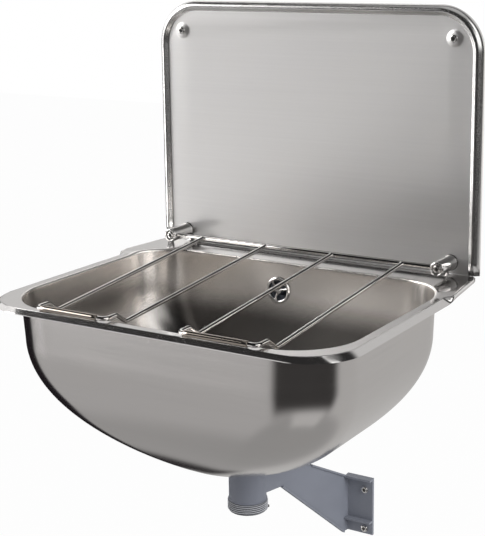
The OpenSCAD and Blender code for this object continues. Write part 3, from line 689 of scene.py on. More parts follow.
@dataclass(frozen=True)
class MouldedPlastic(Finish):
    """Matt plastic with the fine texture of its mould and slightly worn edges, with a painted highlight on
    its thread crests and painted shade in the thread's roots.
    """

    name: str
    tone: Colour = (0.22, 0.234, 0.276)
    worn: Colour = (0.32, 0.335, 0.375)
    rough: float = 0.52
    grain: float = 1600.0
    depth: float = 0.00005
    # colours painted on the outlet's thread: a highlight on its crests and shade in its roots; then the
    # thread's axis, top, middle radius and outer radius
    crest_highlight: Colour = (0.56, 0.57, 0.6)
    root_shade: Colour = (0.05, 0.053, 0.062)
    axis_y: float = -0.161
    thread_top: float = -0.4048
    thread_mid: float = 0.0232
    thread_r: float = 0.0246

    def nodes(self, graph: Graph) -> None:
        """Builds the plastic's texture, flow marks, worn edges and the thread's painted highlight and painted
        shade.

        Args:
            graph: the material's nodes.
        """
        place = graph.place()
        texture = graph.noise(place, (self.grain,) * 3)
        flow = graph.noise(place, (26.0, 26.0, 44.0), 4.0, 0.55)
        edges = graph.out(graph.add("ShaderNodeNewGeometry"), "Pointiness").step(0.56, 0.05)
        base = graph.blend(flow, toned(self.tone, 0.9), toned(self.tone, 1.1))
        base = graph.blend(edges * texture * 0.8, base, self.worn)
        # painted highlight and painted shade: pale on the thread's crests, near black in its roots
        x, y, z = graph.axes(place)
        along = y - self.axis_y
        from_axis = x * x + along * along
        threaded = (1 - z.step(self.thread_top, 0.0003)) * (1 - from_axis.step(self.thread_r**2, 0.00001))
        crest = from_axis.step(self.thread_mid**2, 0.00002)
        graph.surface(
            {
                "Base Color": graph.blend(threaded, base, graph.blend(crest, self.root_shade, self.crest_highlight)),
                "Roughness": (texture - 0.5) * 0.2 + (flow - 0.5) * 0.12 + self.rough,
                "Normal": graph.bump(texture, 0.5, self.depth),
            }
        )


@dataclass(frozen=True)
class Rubber(Finish):
    """Black rubber with dust in its pores."""

    name: str
    tone: Colour = (0.022, 0.022, 0.023)
    dusty: Colour = (0.075, 0.073, 0.07)

    def nodes(self, graph: Graph) -> None:
        """Builds the rubber's pores and dust.

        Args:
            graph: the material's nodes.
        """
        place = graph.place()
        pores = graph.noise(place, (1100.0,) * 3, 3.0, 0.6)
        dust = graph.noise(place, (90.0,) * 3, 4.0, 0.6)
        graph.surface(
            {
                "Base Color": graph.blend(dust * pores, self.tone, self.dusty),
                "Roughness": (pores - 0.5) * 0.2 + 0.66,
                "Normal": graph.bump(pores, 0.5, 0.00006),
            }
        )


class Store:
    """The sink's finishes by what they are used for."""

    panel = SatinSheet(
        "splashback_sheet", tone=(0.8, 0.795, 0.79), grain=(5.0, 60.0, 560.0), rough=0.45,
        grain_rough=0.03, grain_tone=0.05, depth=0.00001, anisotropy=0.2,
    )
    raised_edge = SatinSheet(
        "raised_edge_sheet", tone=(0.76, 0.755, 0.75), grain=(30.0, 60.0, 700.0), rough=0.25,
        grain_rough=0.05, grain_tone=0.05, depth=0.00001, anisotropy=0.2,
    )
    bowl_outside = SatinSheet(
        "bowl_outer_sheet", tone=(0.66, 0.645, 0.635), grain=(12.0, 12.0, 620.0), rough=0.17,
        grain_rough=0.04, grain_tone=0.04, depth=0.00002, anisotropy=0.3, wave=0.0001,
    )
    # the inside keeps less than a fifth of its colour in the painted shade low at its rear
    bowl_inside = SatinSheet(
        "bowl_inner_sheet", tone=(0.83, 0.805, 0.78), grain=(170.0, 170.0, 5.0), rough=0.25,
        grain_rough=0.03, grain_tone=0.025, depth=0.000004, anisotropy=0.3, wave=0.0001, turn=0.0, deep=0.18,
    )
    rim = SatinSheet(
        "rim_sheet", tone=(0.68, 0.67, 0.665), grain=(200.0, 200.0, 200.0), rough=0.13,
        grain_rough=0.02, grain_tone=0.02, depth=0.000002, anisotropy=0.0,
    )
    bright = BrightSteel("turned_steel")
    # the wire has a painted dark reflection line along each upper shoulder
    rod = BrightSteel(
        "drawn_wire", tone=(0.86, 0.845, 0.825), rough=0.05, marks=(60.0, 60.0, 900.0), line=0.05
    )
    # painted shade in the screws' hexagon sockets; the small locking screw is drawn all in this dark steel
    # too
    socket_shade_and_dark_steel = BrightSteel("screw_socket_steel", tone=(0.16, 0.155, 0.15), rough=0.35)
    plastic = MouldedPlastic("bracket_plastic")
    sleeve = BrightSteel("sleeve_skin", tone=(0.4, 0.36, 0.32), rough=0.1, marks=(60.0, 900.0, 900.0))
    rubber = Rubber("seal_rubber")


@dataclass
class Splashback:
    """The pressed sheet behind the bowl: a raised edge, a sunken field and two dimples."""

    half: float = 220.0
    top: float = 312.0
    foot: float = 2.8
    corner: float = 54.0
    crest: float = 11.0
    depth: float = 6.0
    bead: float = 12.0
    ridge: float = 7.2
    sheet: float = 1.0
    dimple: float = 10.7
    dimple_in: float = 5.2
    dimple_out: float = 1.6
    screw_x: float = 185.5
    screw_z: float = 274.6
    screw_r: float = 3.2
    seam_x: float = 180.0
    seam_z: float = 10.6
    run_out: float = 15.0

    def section(self) -> list[Point]:
        """Gives the raised edge's section from the field's front over the crest to the field's back.

        Returns:
            Each point's distance in from the edge, its distance out from the wall, and the same at the foot,
            where the raised edge runs out.
        """
        line = [(self.bead + 1.5, self.depth), (self.bead + 0.9, self.depth)]
        for share in (k / 12 for k in range(13)):
            line.append((mix(self.bead + 0.3, self.ridge, share), mix(self.depth, self.crest, smooth(share))))
        for angle in (math.radians(90 * k / 14) for k in range(1, 15)):
            line.append((self.ridge * (1 - math.sin(angle)), 2.0 + (self.crest - 2.0) * math.cos(angle)))
        front = [(i, o, self.depth - 4.3 * (1 - smooth(i / 6.0))) for i, o in line]
        back = [(i, o - self.sheet, f - self.sheet) for i, o, f in reversed(front[:20])]
        edge = [(0.0, 0.0, 0.0), (self.sheet, 0.0, 0.0), (self.sheet, 2.4, 0.5)]
        return front + edge + back

    def outline(self) -> list[tuple[Flat, Flat]]:
        """Gives the outer edge from the left foot over the top to the right foot.

        Returns:
            Pairs of a point and its inward direction.
        """
        line = [((-self.half, self.foot + self.run_out * k / 12), (1.0, 0.0)) for k in range(14)]
        line.append(((-self.half, self.top - self.corner - 1), (1.0, 0.0)))
        for angle in (math.radians(180 - 90 * k / 32) for k in range(33)):
            x, z = math.cos(angle), math.sin(angle)
            point = (-self.half + self.corner + self.corner * x, self.top - self.corner + self.corner * z)
            line.append((point, (-x, -z)))
        return line + [((-p[0], p[1]), (-n[0], n[1])) for p, n in reversed(line)]

    def mesh(self) -> Shell:
        """Builds the sheet with its dimples.

        Returns:
            The mesh.
        """
        shell = Shell()
        section = self.section()
        last = len(section) - 1
        numbers = []
        for p, n in self.outline():
            fade = 1 - smooth((p[1] - self.foot - 3) / (self.run_out - 3))
            row = [(p[0] + n[0] * i, -mix(out, foot, fade), p[1] + n[1] * i) for i, out, foot in section]
            numbers.append(shell.ring(row))
        for here, there in zip(numbers, numbers[1:]):
            for k in range(last):
                tag = Tag.FIRST if k in (0, 1, last - 1) else Tag.SECOND
                shell.bridge(here[k : k + 2], there[k : k + 2], tag, closed=False)
        for end in (numbers[0], numbers[-1]):
            shell.cap(end, Tag.SECOND)
        for face, at in ((-self.depth, 0), (-self.depth + self.sheet, last)):
            corners = [(1, self.foot), (1, self.seam_z), (-1, self.seam_z), (-1, self.foot)]
            seam = shell.ring([(side * self.seam_x, face, z) for side, z in corners])
            loops = [[row[at] for row in numbers] + seam]
            loops += [self.dimple_rings(shell, side * self.screw_x, face) for side, _ in SIDES]
            shell.fill(loops)
        return shell

    def dimple_rings(self, shell: Shell, x: float, face: float) -> list[int]:
        """Adds a dimple's rings to the sheet's front or back.

        Args:
            shell: the sheet's mesh.
            x: the dimple's middle.
            face: where the sheet's face lies along y.

        Returns:
            The numbers of the outer ring.
        """
        bands = [
            (self.dimple - self.dimple_in * share, self.dimple_out * smooth(share))
            for share in (0.0, 0.1, 0.25, 0.4, 0.55, 0.7, 0.85, 1.0)
        ]
        bands.append((self.screw_r, self.dimple_out))
        rings = [circle(x, face - out, self.screw_z, r, 56) for r, out in bands]
        return shell.loft(rings, caps=False)[0]

    def build(self) -> None:
        """Makes the sheet."""
        piece = self.mesh().make("splashback_sheet", [Store.panel, Store.raised_edge], sharp=50)
        fit(piece, "splashback")


@dataclass
class Basin:
    """The deep drawn bowl with its rim, turned edge, flared ledge and the cove behind it."""

    crease_x: float = 219.2
    crease_front: float = 362.5
    crease_r: float = 54.0
    mouth_x: float = 212.0
    mouth_front: float = 354.0
    mouth_rear: float = 49.5
    front_r: float = 73.0
    rear_r: float = 58.0
    lip_h: float = 5.0
    lip_power: float = 0.5
    side_inset: float = 5.0
    end_inset: float = 3.5
    apron_side: float = 8.2
    apron_front: float = 1.0
    apron_h: float = 5.4
    apron_front_h: float = 6.9
    apron_bulge: float = 0.15
    apron_tuck: float = 0.135
    crease_round: float = 0.4
    flare_out: float = 1.2
    flare_h: float = 4.4
    ledge_rise: float = 2.6
    ledge_flare: float = 7.8
    flare_start: float = 107.5
    flare_len: float = 20.0
    apron_end: float = 102.5
    apron_end_len: float = 10.0
    ledge_taper: float = 10.3
    ledge_back: float = 12.2
    cove: float = 8.0
    field_y: float = 6.0
    upstand_x: float = 187.0
    under_y: float = 2.5
    bowl_depth: float = 210.0
    wall_depth: float = 45.0
    lean: float = 1.5
    side_curve: float = 1.25
    end_curve: float = 1.8
    growth: float = 1.8
    flat_r: float = 30.0
    outlet_y: float = 161.0
    waste_r: float = 23.0
    sheet: float = 1.0
    overflow_x: float = -19.5
    overflow_z: float = -33.0
    overflow_r: float = 13.0
    groove: float = 0.32
    arc_n: int = 22
    side_n: int = 22
    rear_n: int = 30
    front_n: int = 26
    bowl_n: int = 44

    def arc(self, cx: float, cy: float, r: float, start: float, end: float) -> list[Flat]:
        """Gives an arc's points between two directions in degrees."""
        angles = [math.radians(mix(start, end, k / self.arc_n)) for k in range(self.arc_n + 1)]
        return [(cx + r * math.cos(a), cy + r * math.sin(a)) for a in angles]

    def straight(self, p: Flat, q: Flat, n: int) -> list[Flat]:
        """Gives n points between two others."""
        return [(mix(p[0], q[0], k / (n + 1)), mix(p[1], q[1], k / (n + 1))) for k in range(1, n + 1)]

    def ring(self, x: float, front: float, rear: float, rf: float, rr: float) -> list[Flat]:
        """Gives a rounded rectangle, from the start of the front right corner round to it.

        Args:
            x: half of its width.
            front: its front's distance from the wall.
            rear: its rear's distance from the wall.
            rf: the radius of its front corners.
            rr: the radius of its rear corners.

        Returns:
            The points in x and y.
        """
        return (
            self.arc(x - rf, -front + rf, rf, -90, 0)
            + self.straight((x, -front + rf), (x, -rear - rr), self.side_n)
            + self.arc(x - rr, -rear - rr, rr, 0, 90)
            + self.straight((x - rr, -rear), (-x + rr, -rear), self.rear_n)
            + self.arc(-x + rr, -rear - rr, rr, 90, 180)
            + self.straight((-x, -rear - rr), (-x, -front + rf), self.side_n)
            + self.arc(-x + rf, -front + rf, rf, 180, 270)
            + self.straight((-x + rf, -front), (x - rf, -front), self.front_n)
        )

    def rise(self, y: float) -> float:
        """Gives the rim's height at a distance y, negative, from the wall."""
        return self.ledge_rise * smooth((y + self.flare_start) / (self.flare_len + 6))

    def bowl_ring(self, share: float, g: float) -> list[Point]:
        """Gives the bowl's ring a share of the way down its curve.

        Args:
            share: 0 under the steep walls, 1 at the flat round the waste.
            g: 0 for the inside, the sheet's thickness for the outside.

        Returns:
            The ring's points.
        """
        a = math.radians(90 * share)
        kx, ky = (max(math.cos(a), 0.0) ** (2 / curve) for curve in (self.side_curve, self.end_curve))
        x = mix(self.flat_r, self.mouth_x - self.side_inset - self.lean, kx)
        front = mix(self.outlet_y + self.flat_r, self.mouth_front - self.end_inset - self.lean, ky)
        rear = mix(self.outlet_y - self.flat_r, self.mouth_rear + self.end_inset, ky)
        full = min(x, (front - rear) / 2)
        grow = (1 - kx) ** self.growth
        z = -mix(self.wall_depth, self.bowl_depth, math.sin(a)) - g * math.sin(a)
        rf, rr = (min(mix(r, full, grow), full) for r in (self.front_r, self.rear_r))
        return [(p[0], p[1], z) for p in self.ring(x + g, front + g, rear - g, rf + g, rr + g)]

    def wall_ring(self, share: float, g: float) -> list[Point]:
        """Gives a ring of the steep walls.

        Args:
            share: 0 at the lip, 1 at the bowl's curve.
            g: 0 for the inside, the sheet's thickness for the outside.

        Returns:
            The ring's points.
        """
        x = self.mouth_x - self.side_inset - self.lean * share
        front = self.mouth_front - self.end_inset - self.lean * share
        rear = self.mouth_rear + self.end_inset
        ring = self.ring(x + g, front + g, rear - g, self.front_r + g * share, self.rear_r + g * share)
        return [(p[0], p[1], mix(self.rise(p[1]) - self.lip_h, -self.wall_depth, share)) for p in ring]

    def lip_ring(self, share: float, g: float) -> list[Point]:
        """Gives a ring of the lip's curve.

        Args:
            share: 0 at the steep wall, 1 at the rim.
            g: 0 for the inside, the sheet's thickness for the outside.

        Returns:
            The ring's points.
        """
        a = math.radians(90 * share)
        along, up = max(math.cos(a), 0.0) ** self.lip_power, math.sin(a) ** self.lip_power
        out_x = self.side_inset - (self.side_inset - g) * along
        out_y = self.end_inset - (self.end_inset - g) * along
        drop = g + (self.lip_h - g) * (1 - up)
        x = self.mouth_x - self.side_inset + out_x
        front, rear = self.mouth_front - self.end_inset + out_y, self.mouth_rear + self.end_inset - out_y
        ring = self.ring(x, front, rear, self.front_r, self.rear_r)
        return [(p[0], p[1], self.rise(p[1]) - drop) for p in ring]

    def ledge_x(self, y: float) -> float:
        """Gives the rim's half width at a distance y, negative, from the wall."""
        taper = clamp01((y + self.flare_start - self.flare_len) / (self.flare_start - self.flare_len))
        return self.crease_x + self.ledge_flare * self.past_apron(y) - self.ledge_taper * taper

    def past_apron(self, y: float) -> float:
        """Gives 0 along the side aprons and 1 behind their ends, at a distance y, negative, from the wall."""
        return smooth((y + self.apron_end) / self.apron_end_len)

    def crease_ring(self) -> list[Flat]:
        """Gives the line where the rim turns down at its edge, or up into the cove at the rear.

        Returns:
            The points in x and y.
        """
        end_y, back_y = -self.ledge_back - 6, -self.under_y
        bend_y = -self.apron_end + self.apron_end_len
        near, far = (
            [(self.ledge_x(y), y) for y in (mix(start, end, k / 40) for k in range(41))]
            for start, end in ((-self.flare_start, bend_y), (bend_y, end_y))
        )
        turn = [
            (far[-1][0] - inset, mix(end_y, back_y, share))
            for inset, share in ((0.8, 0.35), (2.6, 0.65), (5.6, 0.87), (9.6, 0.97), (14.0, 1.0))
        ]
        turn += [
            (self.upstand_x + 3, back_y),
            (self.upstand_x, mix(back_y, -self.ledge_back, 0.2)),
            (self.upstand_x - 3, mix(back_y, -self.ledge_back, 0.8)),
            (self.upstand_x - 6, -self.ledge_back),
            (self.upstand_x - 9, -self.ledge_back - 0.5),
        ]
        corner = resample(near, 9)[:-1] + resample(far + turn, self.arc_n - 7)
        flipped = [(-p[0], p[1]) for p in reversed(corner)]
        cx, cy = self.crease_x - self.crease_r, -self.crease_front + self.crease_r
        return (
            self.arc(cx, cy, self.crease_r, -90, 0)
            + self.straight((self.crease_x, cy), (self.crease_x, -self.flare_start), self.side_n)
            + corner
            + self.straight(corner[-1], flipped[0], self.rear_n)
            + flipped
            + self.straight((-self.crease_x, -self.flare_start), (-self.crease_x, cy), self.side_n)
            + self.arc(-cx, cy, self.crease_r, 180, 270)
            + self.straight((-cx, -self.crease_front), (cx, -self.crease_front), self.front_n)
        )

    def edge_out(self, p: Flat) -> Flat:
        """Gives the way that the turned edge points.

        Args:
            p: the crease point.

        Returns:
            The outward direction in x and y.
        """
        sign = math.copysign(1.0, p[0])
        if p[1] > -self.flare_start or abs(p[0]) >= self.crease_x - 0.01:
            return (sign, 0.0)
        dx = max(abs(p[0]) - (self.crease_x - self.crease_r), 0.0)
        dy = p[1] - (-self.crease_front + self.crease_r)
        size = math.hypot(dx, dy)
        return (sign * dx / size, dy / size)

    def upward(self, p: Flat) -> float:
        """Tells how far the edge turns up into the cove.

        Args:
            p: the crease point.

        Returns:
            1 where it turns up, 0 where it turns down.
        """
        if p[1] < -self.ledge_back - 4:
            return 0.0
        return 1 - smooth((abs(p[0]) - self.upstand_x + 7) / 7)

    def edge_point(self, p: Flat, f: float, g: float) -> Point:
        """Gives a point of the turned edge.

        Args:
            p: the crease point that it belongs to.
            f: the share of the way to the edge's end.
            g: 0 for the top side, the sheet's thickness for the underside.

        Returns:
            The point.
        """
        n = self.edge_out(p)
        w = self.upward(p)
        past = self.past_apron(p[1])
        side = n[0] * n[0]
        out = mix(mix(self.apron_front, self.apron_side, side), self.flare_out, past)
        down = mix(mix(self.apron_front_h, self.apron_h, side), self.flare_h, past)
        top = self.rise(p[1])
        bulge = math.sin(math.pi * f) * self.apron_bulge * side * (1 - past)
        c = self.crease_round
        eased = f * f / (2 * c - c * c) if f < c else (2 * c * f - c * c) / (2 * c - c * c)
        spread = 1 - (1 - min(f / c, 1.0)) ** 2
        tuck = self.apron_tuck * (1 - side) * (1 - past) * clamp01((f - 0.88) / 0.12)
        reach = out * mix(f, spread, past) + bulge - g - tuck
        fall = down * mix(f, eased, past)
        low = (p[0] + n[0] * reach, p[1] + n[1] * reach, top - fall + bulge - g * (1 - f))
        a = math.radians(90 * f)
        back = -self.field_y - p[1]
        high = (p[0], p[1] + (back + g) * math.sin(a), top + self.cove * (1 - math.cos(a)) - g * math.cos(a))
        thin = -g * 2 * w * (1 - w) * f
        return (mix(low[0], high[0], w), mix(low[1], high[1], w), mix(low[2], high[2], w) + thin)

    def rim_rings(self, g: float) -> list[list[Point]]:
        """Gives the rings across the flat rim, with the fine groove beside its crease on the top side.

        Each ring lies a share of the way from the mouth to the crease, less an inset in millimetres, and has
        a share of the groove's depth.

        Args:
            g: 0 for the top side, the sheet's thickness for the underside.

        Returns:
            The rings, from the mouth outward.
        """
        crease = self.crease_ring()
        mouth = self.lip_ring(1.0, g)
        rings = []
        for share, inset, dip in (
            (0.15, 0.0, 0.0), (0.3, 0.0, 0.0), (1.0, 2.6, 0.0), (1.0, 2.1, 0.0), (1.0, 1.7, 0.7),
            (1.0, 1.3, 1.0), (1.0, 0.9, 0.5), (1.0, 0.45, 0.0),
        ):
            ring = []
            for p, q in zip(crease, mouth):
                at = share - inset / math.dist(p, q[:2])
                x, y = mix(q[0], p[0], at), mix(q[1], p[1], at)
                low = 0.0 if g else dip * self.groove * (1 - self.upward(p))
                ring.append((x, y, self.rise(y) - g - low))
            rings.append(ring)
        return rings

    def surface(self, g: float) -> tuple[list[list[Point]], list[Tag]]:
        """Gives one side of the sheet, from the waste to the edge.

        Args:
            g: 0 for the top side, the sheet's thickness for the underside.

        Returns:
            The rings and the tag of each band.
        """
        r = self.waste_r
        waste = self.ring(r, self.outlet_y + r, self.outlet_y - r, r, r)
        rings = [[(p[0], p[1], -self.bowl_depth - g) for p in waste]]
        rings += [self.bowl_ring(1 - k / self.bowl_n, g) for k in range(self.bowl_n + 1)]
        rings += [self.wall_ring(1 - k / 6, g) for k in range(1, 7)]
        rings += [self.lip_ring(k / 8, g) for k in range(1, 9)]
        inside = len(rings) - 3
        rings += self.rim_rings(g)
        crease = self.crease_ring()
        rings.append([(p[0], p[1], self.rise(p[1]) - g) for p in crease])
        for f in (0.05, 0.12, 0.22, 0.35, 0.5, 0.65, 0.78, 0.88, 1.0):
            rings.append([self.edge_point(p, f, g) for p in crease])
        if g:
            return rings, [Tag.SECOND] * len(rings)
        return rings, [Tag.FIRST] * inside + [Tag.THIRD] * (len(rings) - inside)

    def build(self) -> None:
        """Makes the sheet and cuts the overflow's hole in it."""
        shell = Shell()
        top, top_tags = self.surface(0.0)
        under, under_tags = self.surface(self.sheet)
        shell.loft(top + under[::-1], around=True, tags=top_tags + under_tags)
        piece = shell.make("basin_sheet", [Store.bowl_inside, Store.bowl_outside, Store.rim], sharp=60)
        hole = Shell()
        place = (self.overflow_x, -self.mouth_rear - 16, self.overflow_z)
        hole.turn([(self.overflow_r, 0.0), (self.overflow_r, 24.0)], place, BACKWARD, 48)
        carve(piece, hole.make("overflow_cutter", [Store.bowl_inside], sharp=32))
        fit(piece, "basin")


@dataclass
class WallScrew:
    """A wall screw: low head with a hexagon socket, plain neck and a thread that ends in a point."""

    x: float
    head_y: float
    z: float
    head_r: float = 4.75
    head_h: float = 2.8
    shank_r: float = 3.0
    reach: float = 40.0
    socket: float = 0.42
    root: float = 0.68
    pitch: float = 2.6
    tip: float = 7.0

    def add_to(self, shell: Shell) -> None:
        """Adds the screw to a mesh, its socket in the second material, which paints shade into the socket.

        Args:
            shell: the mesh.
        """
        r, h, neck = self.head_r, self.head_h, self.shank_r - 0.2
        socket = r * self.socket
        domed = [
            (hexagon(socket * 0.55), h * 0.62), (hexagon(socket * 0.9), h * 0.6), (hexagon(socket), h * 0.5),
            (hexagon(socket), 0.25), (hexagon(socket * 1.1), 0.05), (r * 0.62, 0.0), (r * 0.8, 0.12),
            (r * 0.93, 0.42), (r, 1.0), (r, h - 0.2), (r - 0.2, h), (neck, h), (neck, -self.head_y + 1.0),
        ]
        tags = [Tag.SECOND] * 4 + [Tag.FIRST] * (len(domed) - 4)
        shell.turn(domed, (self.x, self.head_y, self.z), BACKWARD, 48, tags=tags)
        radii = (self.shank_r * self.root, self.shank_r)
        shell.screw_thread((self.x, 0.0, self.z), BACKWARD, radii, self.pitch, self.reach, 24, self.tip)


@dataclass
class HingeBosses:
    """The two bosses that hold the grating's rear rod, and the splashback's four wall screws."""

    x: float = 185.5
    z: float = 16.3
    upper_z: float = 274.6
    upper_y: float = -10.45
    radius: float = 8.5
    front: float = 46.2
    back: float = 7.05
    bore_r: float = 6.0
    bore_h: float = 3.4
    hole_r: float = 3.25

    def boss(self, name: str, side: int) -> None:
        """Makes one boss: a turned cylinder with a counterbored, grooved face.

        Args:
            name: the boss's CAD node.
            side: -1 for the left one, 1 for the right one.
        """
        shell = Shell()
        r, b = self.radius, self.bore_r
        length = self.front - self.back
        profile = [
            (self.hole_r, length), (self.hole_r, self.bore_h), (b - 0.1, self.bore_h), (b, self.bore_h - 0.1),
            (b, 0.7), (b + 0.12, 0.4), (b + 0.4, 0.12), (b + 0.7, 0.0), (b + 0.95, 0.0), (b + 1.4, 0.12),
            (r - 0.65, 0.3), (r - 0.3, 0.6), (r - 0.1, 0.95), (r, 1.4), (r, length - 2.2),
            (r + 0.15, length - 1.6), (r + 0.4, length - 1.2), (r + 0.55, length - 0.8),
            (r + 0.55, length - 0.3), (r + 0.4, length),
        ]
        shell.turn(profile, (side * self.x, -self.front, self.z), BACKWARD, 72, around=True)
        fit(shell.make(f"{name}_body", [Store.bright], sharp=40), name)

    def screw(self, name: str, screw: WallScrew) -> None:
        """Makes one wall screw that stands for a CAD node.

        Args:
            name: the screw's CAD node.
            screw: its place and sizes.
        """
        shell = Shell()
        screw.add_to(shell)
        fit(shell.make(f"{name}_thread", [Store.bright, Store.socket_shade_and_dark_steel], sharp=40), name)

    def build(self) -> None:
        """Makes both bosses and the four wall screws."""
        for side, word in SIDES:
            self.boss(f"boss_{word}", side)
            lower = WallScrew(side * self.x, -self.front + self.bore_h - 2.85, self.z)
            upper = WallScrew(side * self.x, self.upper_y, self.upper_z)
            self.screw(f"boss_screw_{word}", lower)
            self.screw(f"upper_screw_{word}", upper)


@dataclass
class Grating:
    """The bucket grating: a rear rod, two bent wires and their soft sleeves."""

    rod_r: float = 2.5
    pitch: float = 92.7
    rod_y: float = 39.2
    rod_z: float = 16.3
    rod_end: float = 181.1
    bend_y: float = 325.0
    bend_z: float = -7.2
    rise_y: float = 341.0
    bar_y: float = 359.5
    bar_z: float = 3.8
    bend_r: float = 6.5
    sleeve_r: float = 3.5
    sleeve_gap: float = 4.0

    def path(self, x: float) -> list[Vector]:
        """Gives a wire's path with its corners bent, and with close points at its welded ends.

        Args:
            x: the place of its left rod.

        Returns:
            The path's points.
        """
        side = [
            (-self.rod_y - 1.6, self.rod_z - 0.16), (-self.bend_y, self.bend_z), (-self.rise_y, self.bar_z),
            (-self.bar_y, self.bar_z),
        ]
        corners = [Vector((x, y, z)) for y, z in side]
        corners += [Vector((x + self.pitch, y, z)) for y, z in reversed(side)]
        first = [corners[0].lerp(corners[1], at) for at in (0.0, 0.004, 0.01, 0.02)]
        last = [corners[-2].lerp(corners[-1], at) for at in (0.98, 0.99, 0.996, 1.0)]
        return first + bend(corners, self.bend_r, 12) + last

    def wire(self, name: str, x: float) -> None:
        """Makes one bent wire, thickened a little where it is welded to the rear rod.

        Args:
            name: the wire's CAD node.
            x: the place of its left rod.
        """
        shell = Shell()
        path = self.path(x)
        last = len(path) - 1
        weld = {0: 0.75, 1: 0.35, 2: 0.08}

        def reach(share: float) -> float:
            """Gives the wire's radius a share of the way along it."""
            step = min(round(share * last), last - round(share * last))
            return self.rod_r + weld.get(step, 0.0)

        shell.sweep(path, reach, 28)
        fit(shell.make(f"{name}_rods", [Store.rod], sharp=50), name, "grating")

    def sleeve(self, name: str, x: float) -> None:
        """Makes the soft sleeve on one front bar.

        Args:
            name: the sleeve's CAD node.
            x: the place of its wire's left rod.
        """
        shell = Shell()
        start = x + self.bend_r + 0.5
        length = self.pitch - 2 * self.bend_r - self.sleeve_gap - 0.5
        r, b = self.sleeve_r, self.rod_r + 0.05
        profile = [(b, 0.0), (r - 0.6, 0.0), (r - 0.18, 0.15), (r, 0.6)]
        for k in range(1, 12):
            wavy = r - 0.05 * math.sin(math.pi * k / 12) + 0.02 * math.sin(k * 2.1)
            profile.append((wavy, length * k / 12))
        profile += [(r, length - 0.6), (r - 0.18, length - 0.15), (r - 0.6, length), (b, length)]
        shell.turn(profile, (start, -self.bar_y, self.bar_z), ALONG_X, 48, around=True)
        fit(shell.make(f"{name}_tube", [Store.sleeve], sharp=50), name, "grating")

    def build(self) -> None:
        """Makes the rear rod, both wires and both sleeves."""
        shell = Shell()
        r, end = self.rod_r, self.rod_end
        profile = [(r - 0.5, 0.0), (r, 0.5), (r, end), (r, 2 * end - 0.5), (r - 0.5, 2 * end)]
        shell.turn(profile, (-end, -self.rod_y, self.rod_z), ALONG_X, 40)
        fit(shell.make("rear_rod_bar", [Store.rod], sharp=50), "rear_rod", "grating")
        for x, word in ((-1.5 * self.pitch, "left"), (0.5 * self.pitch, "right")):
            self.wire(f"grate_wire_{word}", x)
            self.sleeve(f"rim_sleeve_{word}", x)


